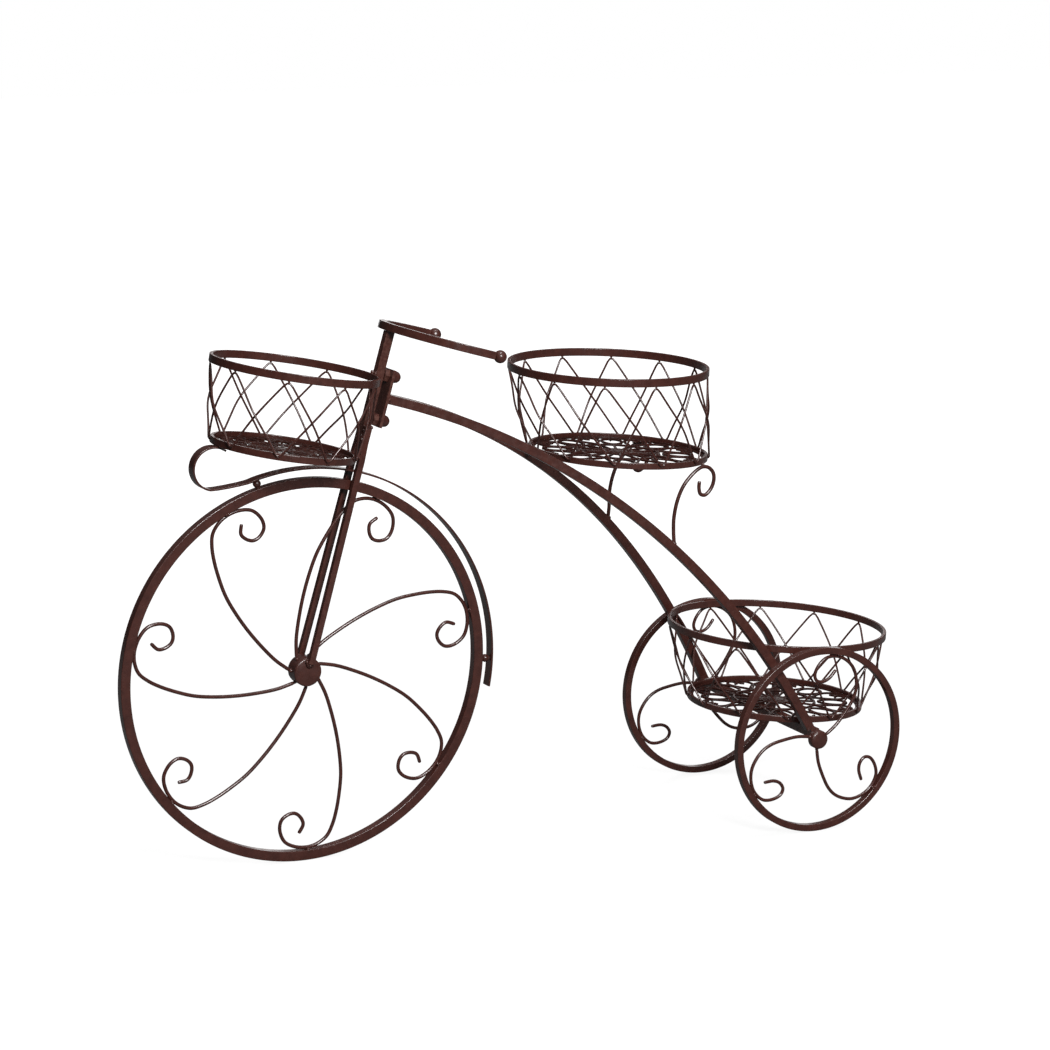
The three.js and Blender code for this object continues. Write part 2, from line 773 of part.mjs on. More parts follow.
// The rosette floor: a boss, straight ribs round it, then a wreath of loops and beads.
function floorShape(radius) {
  const shape = new THREE.Shape(circlePath(0, 0, radius, ringSteps / 2, false).getPoints());
  const step = (2 * Math.PI) / floorRepeats;
  const rib = ribShare * radius;
  for (let i = 0; i < floorRepeats; i += 1) {
    const turn = i * step;
    shape.holes.push(ribSlot(ribShares[0] * radius, ribShares[1] * radius, rib, turn, step));
    shape.holes.push(ovalPath(
      loopMiddleShare * radius, loopShares[0] * radius, loopShares[1] * radius, turn, loopPoints));
    const bead = beadShare * radius;
    shape.holes.push(ovalPath(beadMiddleShare * radius, bead, bead, turn + step / 2, beadPoints));
  }
  return shape;
}

function addFloor(name, ring) {
  const radius = innerFlat(ring) - seatGap;
  const options = { depth: floorThickness, bevelEnabled: false };
  const plate = new THREE.ExtrudeGeometry(floorShape(radius), options);
  cast(name, onRing(plate.translate(0, 0, floorLift - ring.height / 2), ring));
}

function addBasket(basket) {
  addRing(`${basket.name}_top_ring`, basket.top);
  addRing(`${basket.name}_bottom_ring`, basket.bottom);
  addLattice(basket);
  addFloor(`${basket.name}_floor`, basket.bottom);
}

// Small joining pieces.
function addFrontLink(side, sign) {
  const ring = frontBasket.bottom;
  const from = ringPoint(ring, Math.asin(linkSpread / ring.radius), ring.radius, 0);
  const along = (from.z - forkFoot.z) / forkWay.z;
  const to = forkPoint(along, 0, 0).x - legSide / 2 / rearWay.x;
  const depth = to - from.x - 2 * seatGap;
  const link = new THREE.BoxGeometry(depth, linkWidth, linkHeight);
  link.rotateY(radians(linkTilt)).translate((from.x + to) / 2, sign * linkSpread, from.z);
  painted(`front_basket_link_${side}`, link);
}

function addSupportScroll(side, sign) {
  const ring = midBasket.bottom;
  const apexShare = supportScrollShares.find(([, up]) => up === 1)[0];
  const footX = ring.x + supportFootBehind;
  const apexX = footX + apexShare * supportHeight;
  const apexZ = ringHeightAt(ring, apexX) - ring.height / 2 - seatGap - supportWire / 2;
  const footZ = apexZ - supportHeight;
  const knots = supportScrollShares.map(([along, up]) => new THREE.Vector3(
    footX + along * supportHeight, sign * supportSpread, footZ + up * supportHeight));
  const points = new THREE.CatmullRomCurve3(knots).getPoints(Math.round(pointShare * knots.length));
  addSpoke(`mid_support_scroll_${side}`, points, supportWire);
}

addFrontWheel();
addRearWheel('left', -1, leftSpokeContacts);
addRearWheel('right', 1, rightSpokeContacts);
addForkLeg('left', -1);
addForkLeg('right', 1);
addStem();
addHandlebar();
addHeadPlate();
addHeadBolts();
addSpacerNuts();
addCapNuts();
addFender();
addFenderPosts();
addFrameTube('left', -1);
addFrameTube('right', 1);
addAxle();
[frontBasket, midBasket, rearBasket].forEach(addBasket);
addFrontLink('left', -1);
addFrontLink('right', 1);
addSupportScroll('left', -1);
addSupportScroll('right', 1);

export default group;
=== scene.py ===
# A tricycle planter of painted iron, dressed on its CAD frame.
import math

import bpy
from mathutils import Matrix, Vector, noise


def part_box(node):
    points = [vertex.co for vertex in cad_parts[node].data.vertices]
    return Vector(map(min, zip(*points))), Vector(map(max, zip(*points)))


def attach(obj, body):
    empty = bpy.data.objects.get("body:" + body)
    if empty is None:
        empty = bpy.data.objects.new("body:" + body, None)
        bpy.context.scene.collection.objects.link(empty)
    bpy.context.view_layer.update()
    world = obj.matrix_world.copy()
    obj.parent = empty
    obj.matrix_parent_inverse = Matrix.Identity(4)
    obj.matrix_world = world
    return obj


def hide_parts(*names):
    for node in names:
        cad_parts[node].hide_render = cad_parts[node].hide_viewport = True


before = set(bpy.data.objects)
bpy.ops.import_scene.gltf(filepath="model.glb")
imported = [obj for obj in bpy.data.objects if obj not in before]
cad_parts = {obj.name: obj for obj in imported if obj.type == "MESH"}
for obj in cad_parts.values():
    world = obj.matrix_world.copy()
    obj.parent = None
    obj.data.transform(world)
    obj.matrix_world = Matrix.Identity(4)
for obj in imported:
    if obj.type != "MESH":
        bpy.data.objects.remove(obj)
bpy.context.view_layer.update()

# Sizes are in millimetres and angles in degrees, unless a name says otherwise.
MM = 0.001
TINY = 1e-6
X = Vector((1, 0, 0))
Y = Vector((0, 1, 0))
Z = Vector((0, 0, 1))
SIDES = (("left", -1), ("right", 1))


def middle_and_size(node):
    """The middle and the size of a frame node's box."""
    low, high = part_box(node)
    return (low + high) / (2 * MM), (high - low) / MM


def flat_way(angle):
    """The way at an angle in a wheel's plane, from the rear upwards."""
    return Vector((math.cos(math.radians(angle)), 0, math.sin(math.radians(angle))))


# Wheels.
SEAT_GAP = 0.3
FRONT_AXLE, FRONT_RIM_SIZE = middle_and_size("front_rim")
FRONT_HUB_SIZE = middle_and_size("front_hub")[1]
REAR_AXLE = middle_and_size("rear_rim_left")[0]
FRONT_RIM_DEPTH = 10.2
REAR_RIM_DEPTH = 7.1
RIM_ROUNDING = 0.8
RIM_STEPS = 200
HUB_DOME = 0.5
HUB_FACE_SHARE = 0.55
HUB_EDGE = [(1.6, 0), (0.4, 0.9), (0, 1.9)]     # inward from the hub's side, down from its face
HUB_STEPS = 56
FRONT_WIRE = 3.8
REAR_WIRE = 3.6
WIRE_SIDES = 14
SPOKE_LIFT = 0.9
SCROLL_STEPS = 7
WIRE_END = 0.35
FRONT_SPOKES = 7
FRONT_CONTACTS = [117.0 + i * 360.0 / FRONT_SPOKES for i in range(FRONT_SPOKES)]
REAR_CONTACTS = {"left": (213.7, 319.3, 77.0), "right": (214.0, 337.0, 83.0)}
FRONT_SCROLL_START = 58.0
REAR_SCROLL_START = -54.0

# Scroll spokes: how far out from the hub to the rim as a share, then degrees from where
# the scroll meets the rim.
FRONT_SCROLL_SHARES = [
    (0.104, 40.5), (0.215, 32), (0.349, 26.2), (0.483, 22), (0.611, 18.5), (0.722, 15),
    (0.821, 12), (0.897, 9.5), (0.956, 6.9), (0.988, 3.6), (1, 0), (0.99, -4.4),
    (0.956, -8.2), (0.886, -10.5), (0.827, -10.4), (0.789, -7.8), (0.784, -5),
    (0.813, -2.6), (0.856, -1.6), (0.909, -3.2)]
REAR_SCROLL_SHARES = [
    (0.186, -45.5), (0.412, -38), (0.575, -34), (0.701, -29.5), (0.814, -23.5),
    (0.915, -16.5), (0.977, -8.5), (1, 0), (0.965, 8.6), (0.864, 14.8), (0.751, 18.2),
    (0.67, 16.6), (0.644, 10), (0.688, 3.6), (0.814, -1.6)]

# Fender.
FENDER_RADIUS = FRONT_RIM_SIZE.x / 2 + 10.0
FENDER_WIDTH = middle_and_size("fender")[1].y
FENDER_THICKNESS = 2.0
FENDER_ROUNDING = 0.55
FENDER_ANGLES = (-10.0, 108.0)
FENDER_KNOTS = 40
CURL_MIDDLE = FRONT_AXLE + Vector((-101.0, 0, 216.9))
CURL_RADIUS = 21.5
CURL_ANGLES = (-98.0, -306.0)
CURL_KNOTS = 21
STRIP_STEPS = 4

# Fork, stem and handlebar, in distances along the fork's line from beside the axle.
FORK_RAKE = 15.2
FORK_FOOT = FRONT_AXLE - X * 2.0
FORK_WAY = flat_way(90 - FORK_RAKE)
REAR_WAY = flat_way(-FORK_RAKE)
LEG_SIDE = 6.5
LEG_ROUNDING = 0.55
LEG_FOOT = FRONT_HUB_SIZE.x / 2 - 5.0
LEG_PASS = FENDER_RADIUS
LEG_BEND_START = LEG_PASS + 12.0
LEG_BEND_END = LEG_BEND_START + 18.0
LEG_END = LEG_BEND_END + 18.0
HUB_FACE = FRONT_HUB_SIZE.y / 2 + SEAT_GAP
STEM_SIDE = middle_and_size("stem")[1].y
STEM_ROUNDING = 0.65
STEM_FOOT = LEG_BEND_END + 1.0
STEM_FACE = STEM_SIDE / 2 + SEAT_GAP
BALL_MIDDLE, BALL_SIZE = middle_and_size("handlebar_ball_right")
BAR_HEIGHT = (BALL_MIDDLE - FORK_FOOT).dot(FORK_WAY)
BAR_END = (BALL_MIDDLE - FORK_FOOT).dot(REAR_WAY) - BALL_SIZE.x / 2 - SEAT_GAP
BAR_SPREAD = BALL_MIDDLE.y
BAR_FORWARD = 2.0
BAR_SIDE = 8.0
BAR_ROUNDING = 0.6
BAR_STEPS = 60
BALL_RINGS = 16

# Head joint.
NUT_HEIGHT = 5.4
NUT_BEVEL = 0.5
BEVEL_STEPS = 3
PLATE_MIDDLE = middle_and_size("head_plate")[0]
PLATE_THICKNESS = 3.0
PLATE_REAR = STEM_SIDE / 2 + NUT_HEIGHT + 2 * SEAT_GAP + PLATE_THICKNESS
CAP_FLANGE = [(0, 0), (6.6, 0), (7.0, 0.5), (7.0, 2.0), (6.5, 2.5), (6.25, 3.4)]
CAP_DOME_RADIUS = 6.2
CAP_DOME_FOOT = 4.8
CAP_DOME_STEPS = 8
CAP_STEPS = 40

# Frame tubes and axle.
AXLE_MIDDLE, AXLE_SIZE = middle_and_size("rear_axle")
TUBE_SIDE = 9.5
TUBE_ROUNDING = 0.7
TUBE_HEAD = (PLATE_MIDDLE - FORK_FOOT).dot(FORK_WAY)
TUBE_STRAIGHT = 4.0
TUBE_LEAD = 196.0
TUBE_LEAD_SPREAD = 41.0
TUBE_KNEE = Vector((REAR_AXLE.x - 106.9, 0, REAR_AXLE.z + 200.0))
TUBE_KNEE_SPREAD = 90.0
TUBE_STEPS = 60

# Baskets.
BAND = 3.5
BAND_ROUNDING = 0.6
RING_STEPS = 160
LATTICE_WIRE = 2.2
LATTICE_SIDES = 10
LATTICE_BULGE = 1.0
LATTICE_BULGE_POWER = 4
LATTICE_TURN = 1.6
STRAND_STEPS = 18


def ring_sizes(node, tilt, height):
    """A ring's place and radius from the frame, with its lean and its band's height."""
    middle, size = middle_and_size(node)
    return {"x": middle.x, "z": middle.z, "r": size.y / 2, "tilt": tilt, "h": height}


BASKETS = {
    "front": {"nodes": 9, "first": 3.0, "top": ring_sizes("front_top_ring", 9.0, 8.0),
              "bottom": ring_sizes("front_bottom_ring", 9.0, 7.0)},
    "mid": {"nodes": 12, "first": 0.0, "top": ring_sizes("mid_top_ring", 1.5, 8.3),
            "bottom": ring_sizes("mid_bottom_ring", 3.0, 6.5)},
    "rear": {"nodes": 12, "first": 8.0, "top": ring_sizes("rear_top_ring", 3.0, 7.5),
             "bottom": ring_sizes("rear_bottom_ring", 3.0, 6.5)},
}

# Basket floors, in shares of the floor's radius and of one repeat of the pattern.
FLOOR_LIFT = 0.8
FLOOR_THICKNESS = 2.4
FLOOR_RIM = 3.0
FLOOR_REPEATS = 8
FRAME_RING_STEPS = 40            # flats round the frame's own rings
RIB_WIDTH = 2.7
RIB_ROUNDING_SHARE = 0.42
RIB_CORNER_STEPS = 3
RIB_STEPS = 4
OUTER_HOOP_WIDTH = RIB_WIDTH * 1.15
INNER_HOOP_WIDTH = RIB_WIDTH * 1.3
OUTER_HOOP_STEPS = 72
INNER_HOOP_STEPS = 40
INNER_HOOP, OUTER_HOOP = 0.17, 0.48
LOOP_MIDDLE = 0.7
LOOP_OUT, LOOP_ACROSS = 0.17, 0.12
LOOP_STEPS = 24
FLOOR_SCROLL = [
    (0.48, 0.0), (0.58, 0.09), (0.68, 0.2), (0.79, 0.25), (0.89, 0.2), (0.94, 0.09),
    (0.9, 0.02), (0.84, 0.04), (0.82, 0.1)]
FLOOR_SCROLL_STEPS = 5
KNOB = 1.95
SMALL_KNOB = KNOB * 0.9
BOSS_KNOB = KNOB * 0.8
KNOB_AT_RIM = 0.93
KNOB_ON_BOSS = INNER_HOOP * 0.72
BOSS_SHARES = [(0.9, -1), (1, -0.4), (1, 0.2), (0.8, 0.75), (0.5, 1)]    # of radius, half height
BOSS_STEPS = 40
LOOP_KNOB_SEED, RIM_KNOB_SEED, BOSS_KNOB_SEED = 20, 40, 60

# Mid basket's supports: along and up from the foot, in shares of the height.
SUPPORT_WIRE = 4.0
SUPPORT_SPREAD = 71.0
SUPPORT_FOOT_X = 147.8
SUPPORT_HEIGHT = 66.8
SUPPORT_INSET = 2.4
SUPPORT_SUNK = 0.5
SUPPORT_APEX_SHARE = 0.494
SUPPORT_SHARES = [
    (0, 0), (0, 0.225), (0.054, 0.494), (0.15, 0.711), (0.278, 0.864), (0.404, 0.963),
    (0.494, 1), (0.599, 0.979), (0.683, 0.889), (0.695, 0.763), (0.644, 0.635),
    (0.545, 0.548), (0.464, 0.569), (0.434, 0.668), (0.44, 0.772)]

# Weld beads.
BEAD_LUMP = 0.45
BEAD_GRAIN = 1.7
BEAD_RINGS = 7
BEAD_STEPS = 10
BEAD_SEED_STEP = 3.1
BEAD_SMOOTH_ANGLE = 80
SPOKE_BEAD_SUNK = 0.12           # this and the next three in shares of the wire
SPOKE_BEAD_APART = 0.35
SPOKE_BEAD = 0.45
HUB_BEAD = 0.56
HUB_BEAD_LIFT = 0.3
RIM_BEAD_RISE = 0.2
RIM_BEAD_APART = 1.1
RIM_BEAD_SUNK = 0.6
RIM_BEAD = 1.25
POST_BEAD = 2.2
POST_BEAD_OUT = 0.2
TOP_STRAND_BEAD = 1.25
TOP_STRAND_DROP = 0.4
BOTTOM_STRAND_BEAD = 1.3
BOTTOM_STRAND_LIFT = 0.3
APEX_BEAD = 1.9
FRONT_RING_DROP = 13.5           # from the ring's middle to where it meets the stem

# Each bead of these rows: along, out, behind (or up, for the landing), size.
LANDING_BEADS = [
    (-1.7, 0.3, 1.9, 1.6), (1.6, -0.4, -0.3, 1.7), (0.2, 1.8, 0.9, 1.5), (0.1, -1.8, 0.8, 1.5)]
LEG_TOP_BEADS = [
    (-14, 0.6, 3.2, 1.7), (-14, 0.6, -3.2, 1.7), (-5, 0.6, 3.2, 1.7), (-5, 0.6, -3.2, 1.7),
    (-1, 0.6, 3.2, 1.7), (-1, 0.6, -3.2, 1.7), (0.3, 0.8, 0.56, 2.0), (-0.4, 0.8, 2.4, 1.7),
    (0.3, 2.6, 0.02, 2.0), (-0.4, 2.6, 2.4, 1.7), (0.3, 4.6, -0.58, 2.0), (-0.4, 4.6, 2.4, 1.7),
    (0.3, 6.0, -1.0, 2.0), (-0.4, 6.0, 2.4, 1.7)]
BASKET_BEADS = [
    (-3.2, 2.6, -0.6, 1.9), (-1.0, 3.15, -0.6, 1.9), (1.3, 3.725, -0.6, 1.9),
    (3.4, 4.25, -0.6, 1.9)]
LEG_FOOT_BEADS = [
    (1.0, 1.0, 3.4, 1.6), (1.0, 1.0, -3.4, 1.7), (-0.2, 0.7, -2.3, 1.9), (-0.5, 0.8, -0.3, 2.1),
    (-0.2, 0.7, 1.7, 1.9), (-0.1, 2.9, -1.9, 1.5), (-0.2, 3.1, 0.5, 1.6), (-0.1, 2.8, 2.2, 1.4),
    (3.2, 0.6, -3.7, 1.3), (3.0, 0.6, 3.7, 1.3), (-1.0, 2.3, -1.6, 2.1), (-1.1, 2.5, 0.4, 2.2),
    (-0.9, 2.2, 2.0, 2.0), (-2.3, 1.0, -1.2, 2.0), (-2.5, 1.1, 0.9, 2.1), (-3.6, 0.3, -0.1, 1.6)]
TUBE_HEAD_BEADS = [(0, 9.7, 0.8, 1.7), (4.4, 6, 0.8, 1.6), (-4.4, 5, 0.8, 1.6)]
BAR_BEADS = [(-0.4, 0, 4.5, 1.6), (-0.4, 4.5, 0, 1.4), (-0.4, -4.5, 0, 1.4)]

# Paint: colours are linear, scales count features per metre.
# Painted shade: the cast basket floors get a deeper brown than the rest of the paint, as shade
# lying on the floors.
SHADED_CAST_BROWN = (0.016, 0.0060, 0.0048)
DARK_BROWN = (0.037, 0.0115, 0.0088)
BROWN = (0.062, 0.0192, 0.0143)
WORN_BROWN = (0.150, 0.072, 0.055)
BLACK = (0, 0, 0)
WHITE = (1, 1, 1)
MOTTLE_GRAIN = (6, 0.62)         # each grain: detail, roughness
WEAR_GRAIN = (5, 0.7)
ROUGH_GRAIN = (4, 0.6)
LUMP_GRAIN = (4, 0.55)
MOTTLE_FROM, MOTTLE_TO = 0.3, 0.72
WEAR_FROM, WEAR_TO = 0.42, 0.62
WEAR_MOST = (0.85, 0.85, 0.85)
WORN_FROM, WORN_TO = 0.2, 0.8
ROUGH_FROM, ROUGH_TO = 0.3, 0.7
LUMP_DEPTH = 0.6 * MM
PAINT_LOOK = {
    "mottle_scale": 130.0, "wear_scale": 240.0, "rough_scale": 160.0, "lump_scale": 130.0,
    "edge_from": 0.54, "edge_to": 0.64, "rough_low": 0.19, "rough_high": 0.31, "metal": 0.0,
    "specular": 0.5, "coat": 0.15, "coat_rough": 0.12, "lump": 0.03}
WIRE_LOOK = dict(PAINT_LOOK, edge_from=0.85, edge_to=0.95, lump=0.0)
HAMMER_LOOK = dict(PAINT_LOOK, lump_scale=260.0, lump=0.6, rough_low=0.24, rough_high=0.45)
CAST_LOOK = dict(
    PAINT_LOOK, lump_scale=300.0, lump=0.8, rough_low=0.22, rough_high=0.38, specular=0.08,
    coat=0.0)
BOLT_LOOK = dict(PAINT_LOOK, lump_scale=180.0, lump=0.6, rough_low=0.22, rough_high=0.42)
WELD_LOOK = dict(PAINT_LOOK, lump_scale=420.0, lump=0.9, rough_low=0.2, rough_high=0.4)

# Camera, fitted to the photograph.
CAMERA_PLACE = (-1655.5, -3261.15, 1108.82)
CAMERA_YAW = -27.061
CAMERA_PITCH = 11.992
CAMERA_ROLL = 1.0
CAMERA_LENS = 123.43
CAMERA_SENSOR = 36.0

# Lamps and ground, in metres and watts: name, place, width and height, power, seen in shine.
LAMPS = [
    ("top", (0.1, -0.5, 2.6), (0.9, 0.3), 20, True),
    ("front", (-0.4, -3.0, 2.0), (0.9, 0.9), 145, True),
    ("back", (1.2, 3.0, 2.2), (2.0, 1.5), 130, False),
    ("horizon", (1.55, 3.15, 0.42), (2.6, 0.6), 7, True)]
LIGHT_TARGET = (0.0, 0.0, 0.28)
SKY_STOPS = [
    (0.0, (0.05, 0.05, 0.05)), (0.48, (0.06, 0.06, 0.06)), (0.66, (0.14, 0.14, 0.14)),
    (0.86, (0.7, 0.7, 0.7)), (1.0, (1.2, 1.2, 1.2))]
SKY_STRENGTH = 0.4
GROUND_REACH = 8.0
GROUND_DROP = 0.0003
GROUND_COLOUR = (0.11, 0.11, 0.11)
GROUND_GLOW = 0.89
GROUND_FADE = (0.7, 1.6)


# Curves.
def spline(knots, per_span):
    """Points on a smooth curve through the knots (centripetal)."""
    ends = [2 * knots[0] - knots[1]] + list(knots) + [2 * knots[-1] - knots[-2]]
    points = []
    for i in range(1, len(ends) - 2):
        p0, p1, p2, p3 = ends[i - 1:i + 3]
        t0 = 0.0
        t1 = t0 + max((p1 - p0).length, TINY) ** 0.5
        t2 = t1 + max((p2 - p1).length, TINY) ** 0.5
        t3 = t2 + max((p3 - p2).length, TINY) ** 0.5
        for k in range(per_span):
            t = t1 + (t2 - t1) * k / per_span
            a1 = p0 * ((t1 - t) / (t1 - t0)) + p1 * ((t - t0) / (t1 - t0))
            a2 = p1 * ((t2 - t) / (t2 - t1)) + p2 * ((t - t1) / (t2 - t1))
            a3 = p2 * ((t3 - t) / (t3 - t2)) + p3 * ((t - t2) / (t3 - t2))
            b1 = a1 * ((t2 - t) / (t2 - t0)) + a2 * ((t - t0) / (t2 - t0))
            b2 = a2 * ((t3 - t) / (t3 - t1)) + a3 * ((t - t1) / (t3 - t1))
            points.append(b1 * ((t2 - t) / (t2 - t1)) + b2 * ((t - t1) / (t2 - t1)))
    points.append(knots[-1].copy())
    return points


def bezier(p0, p1, p2, p3, count):
    points = []
    for i in range(count + 1):
        t = i / count
        s = 1 - t
        points.append(p0 * s ** 3 + p1 * (3 * s * s * t) + p2 * (3 * s * t * t) + p3 * t ** 3)
    return points


def arc(middle, radius, angles, knots):
    """Knots on an arc in the wheels' plane, from the first angle to the second."""
    first, last = angles
    return [middle + flat_way(first + (last - first) * i / (knots - 1)) * radius
            for i in range(knots)]


def fork_point(along, across, behind):
    return FORK_FOOT + FORK_WAY * along + REAR_WAY * behind + Y * across


def ring_point(ring, turn, radius, height):
    """A point by its turn in radians, its radius and its height, in a leaning ring."""
    local = Vector((radius * math.cos(turn), radius * math.sin(turn), height))
    local.rotate(Matrix.Rotation(math.radians(ring["tilt"]), 3, "Y"))
    return local + Vector((ring["x"], 0, ring["z"]))


def ring_way(ring, turn):
    return ring_point(ring, turn, 1, 0) - ring_point(ring, turn, 0, 0)


def ring_height(ring, x):
    """The height of a leaning ring's middle plane at a place along X."""
    return ring["z"] + (ring["x"] - x) * math.tan(math.radians(ring["tilt"]))


# Sections.
def rounded_box(width, height, radius, steps=4):
    corners = []
    for turn, (sx, sy) in enumerate(((1, 1), (-1, 1), (-1, -1), (1, -1))):
        for k in range(steps + 1):
            angle = math.radians(90 * turn + 90 * k / steps)
            corners.append((
                sx * (width / 2 - radius) + radius * math.cos(angle),
                sy * (height / 2 - radius) + radius * math.sin(angle)))
    return corners


def square_bar(side, radius):
    return rounded_box(side, side, radius)


def round_bar(diameter, sides=WIRE_SIDES):
    turns = [2 * math.pi * k / sides for k in range(sides)]
    return [(diameter / 2 * math.cos(turn), diameter / 2 * math.sin(turn)) for turn in turns]


# Mesh making.
class Shape:
    """Gathers vertices in millimetres and faces, then becomes one mesh piece."""

    def __init__(self):
        self.verts = []
        self.faces = []

    def sweep(self, points, section, side, closed=False, swell=None):
        """A bar along points; side is a way or a function of the index and the point."""
        count = len(section)
        base = len(self.verts)
        last = len(points) - 1
        for i, point in enumerate(points):
            before = points[i - 1] if (i or closed) else points[0]
            after = points[(i + 1) % len(points)] if (i < last or closed) else points[last]
            way = (after - before).normalized()
            across = side(i, point) if callable(side) else side
            across = (across - way * across.dot(way)).normalized()
            up = way.cross(across)
            scale = swell(i) if swell else 1.0
            for a, b in section:
                self.verts.append(point + across * (a * scale) + up * (b * scale))
        self.join_rings(base, count, len(points), closed)
        return self

    def join_rings(self, base, count, rings, closed):
        """Faces between the rings of a sweep, and over its ends."""
        for i in range(rings if closed else rings - 1):
            here = base + i * count
            then = base + ((i + 1) % rings) * count
            for k in range(count):
                m = (k + 1) % count
                self.faces.append((here + k, here + m, then + m, then + k))
        if not closed:
            end = base + (rings - 1) * count
            self.faces.append(tuple(base + k for k in reversed(range(count))))
            self.faces.append(tuple(end + k for k in range(count)))

    def lathe(self, profile, place, steps):
        """Turns a profile of (radius, height), from axis to axis, round place's own Z."""
        base = len(self.verts)
        inner = profile[1:-1]
        count = len(inner)
        for i in range(steps):
            turn = 2 * math.pi * i / steps
            for radius, height in inner:
                local = Vector((radius * math.cos(turn), radius * math.sin(turn), height))
                self.verts.append(place @ local)
        low = len(self.verts)
        self.verts.append(place @ Vector((0, 0, profile[0][1])))
        self.verts.append(place @ Vector((0, 0, profile[-1][1])))
        for i in range(steps):
            here = base + i * count
            then = base + ((i + 1) % steps) * count
            for k in range(count - 1):
                self.faces.append((here + k, then + k, then + k + 1, here + k + 1))
            self.faces.append((low, then, here))
            self.faces.append((low + 1, here + count - 1, then + count - 1))
        return self

    def blob(self, middle, size, seed):
        """A small lumpy bead or knob."""
        base = len(self.verts)
        for i in range(BEAD_RINGS):
            polar = math.pi * (i + 0.5) / BEAD_RINGS
            for k in range(BEAD_STEPS):
                turn = 2 * math.pi * k / BEAD_STEPS
                way = Vector((
                    math.sin(polar) * math.cos(turn), math.sin(polar) * math.sin(turn),
                    math.cos(polar)))
                lump = 1 + BEAD_LUMP * noise.noise(way * BEAD_GRAIN + X * seed)
                self.verts.append(middle + way * size * lump)
        for i in range(BEAD_RINGS - 1):
            for k in range(BEAD_STEPS):
                m = (k + 1) % BEAD_STEPS
                a = base + i * BEAD_STEPS
                b = a + BEAD_STEPS
                self.faces.append((a + k, b + k, b + m, a + m))
        end = base + (BEAD_RINGS - 1) * BEAD_STEPS
        self.faces.append(tuple(base + k for k in range(BEAD_STEPS)))
        self.faces.append(tuple(end + k for k in reversed(range(BEAD_STEPS))))
        return self

    def piece(self, name, material, slot, *nodes, smooth_angle=40):
        """The gathered mesh as one object that rides on the frame and replaces nodes."""
        mesh = bpy.data.meshes.new(name)
        mesh.from_pydata([tuple(v * MM) for v in self.verts], [], self.faces)
        mesh.validate()
        mesh.update()
        obj = bpy.data.objects.new(name, mesh)
        bpy.context.scene.collection.objects.link(obj)
        mesh.materials.append(material)
        mesh.shade_smooth()
        mesh.set_sharp_from_angle(angle=math.radians(smooth_angle))
        flats = obj.modifiers.new("flat_faces", "WEIGHTED_NORMAL")
        flats.keep_sharp = True
        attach(obj, "root")
        if nodes:
            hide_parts(*nodes)
        return obj


# Materials.
def add_node(tree, kind, **settings):
    node = tree.nodes.new(kind)
    for key, value in settings.items():
        setattr(node, key, value)
    return node


def noise_node(tree, coords, scale, grain):
    node = add_node(tree, "ShaderNodeTexNoise")
    node.inputs["Scale"].default_value = scale
    node.inputs["Detail"].default_value = grain[0]
    node.inputs["Roughness"].default_value = grain[1]
    tree.links.new(coords, node.inputs["Vector"])
    return node.outputs["Fac"]


def ramp_node(tree, value, stops):
    node = add_node(tree, "ShaderNodeValToRGB")
    elements = node.color_ramp.elements
    while len(elements) < len(stops):
        elements.new(0.5)
    for element, (position, colour) in zip(elements, stops):
        element.position = position
        element.color = (*colour, 1.0)
    tree.links.new(value, node.inputs["Fac"])
    return node.outputs["Color"]


def multiply_node(tree, first, second):
    node = add_node(tree, "ShaderNodeMath", operation="MULTIPLY")
    tree.links.new(first, node.inputs[0])
    tree.links.new(second, node.inputs[1])
    return node.outputs[0]


def mix_colours(tree, share, first, second):
    node = add_node(tree, "ShaderNodeMix", data_type="RGBA")
    tree.links.new(share, node.inputs["Factor"])
    tree.links.new(first, node.inputs["A"])
    tree.links.new(second, node.inputs["B"])
    return node.outputs["Result"]


def paint_colour(tree, coords, dark, light, look):
    """Mottled paint that is worn in places along its edges."""
    mottle = noise_node(tree, coords, look["mottle_scale"], MOTTLE_GRAIN)
    base = ramp_node(tree, mottle, [(MOTTLE_FROM, dark), (MOTTLE_TO, light)])
    edge = add_node(tree, "ShaderNodeNewGeometry").outputs["Pointiness"]
    edge_share = ramp_node(tree, edge, [(look["edge_from"], BLACK), (look["edge_to"], WHITE)])
    wear = noise_node(tree, coords, look["wear_scale"], WEAR_GRAIN)
    wear_share = ramp_node(tree, wear, [(WEAR_FROM, BLACK), (WEAR_TO, WEAR_MOST)])
    worn = ramp_node(tree, wear, [(WORN_FROM, light), (WORN_TO, WORN_BROWN)])
    return mix_colours(tree, multiply_node(tree, edge_share, wear_share), base, worn)


def paint_roughness(tree, coords, look):
    rough = noise_node(tree, coords, look["rough_scale"], ROUGH_GRAIN)
    return ramp_node(tree, rough, [
        (ROUGH_FROM, (look["rough_low"],) * 3), (ROUGH_TO, (look["rough_high"],) * 3)])


def paint_lumps(tree, coords, look):
    bump = add_node(tree, "ShaderNodeBump")
    bump.inputs["Strength"].default_value = look["lump"]
    bump.inputs["Distance"].default_value = LUMP_DEPTH
    lumps = noise_node(tree, coords, look["lump_scale"], LUMP_GRAIN)
    tree.links.new(lumps, bump.inputs["Height"])
    return bump.outputs["Normal"]


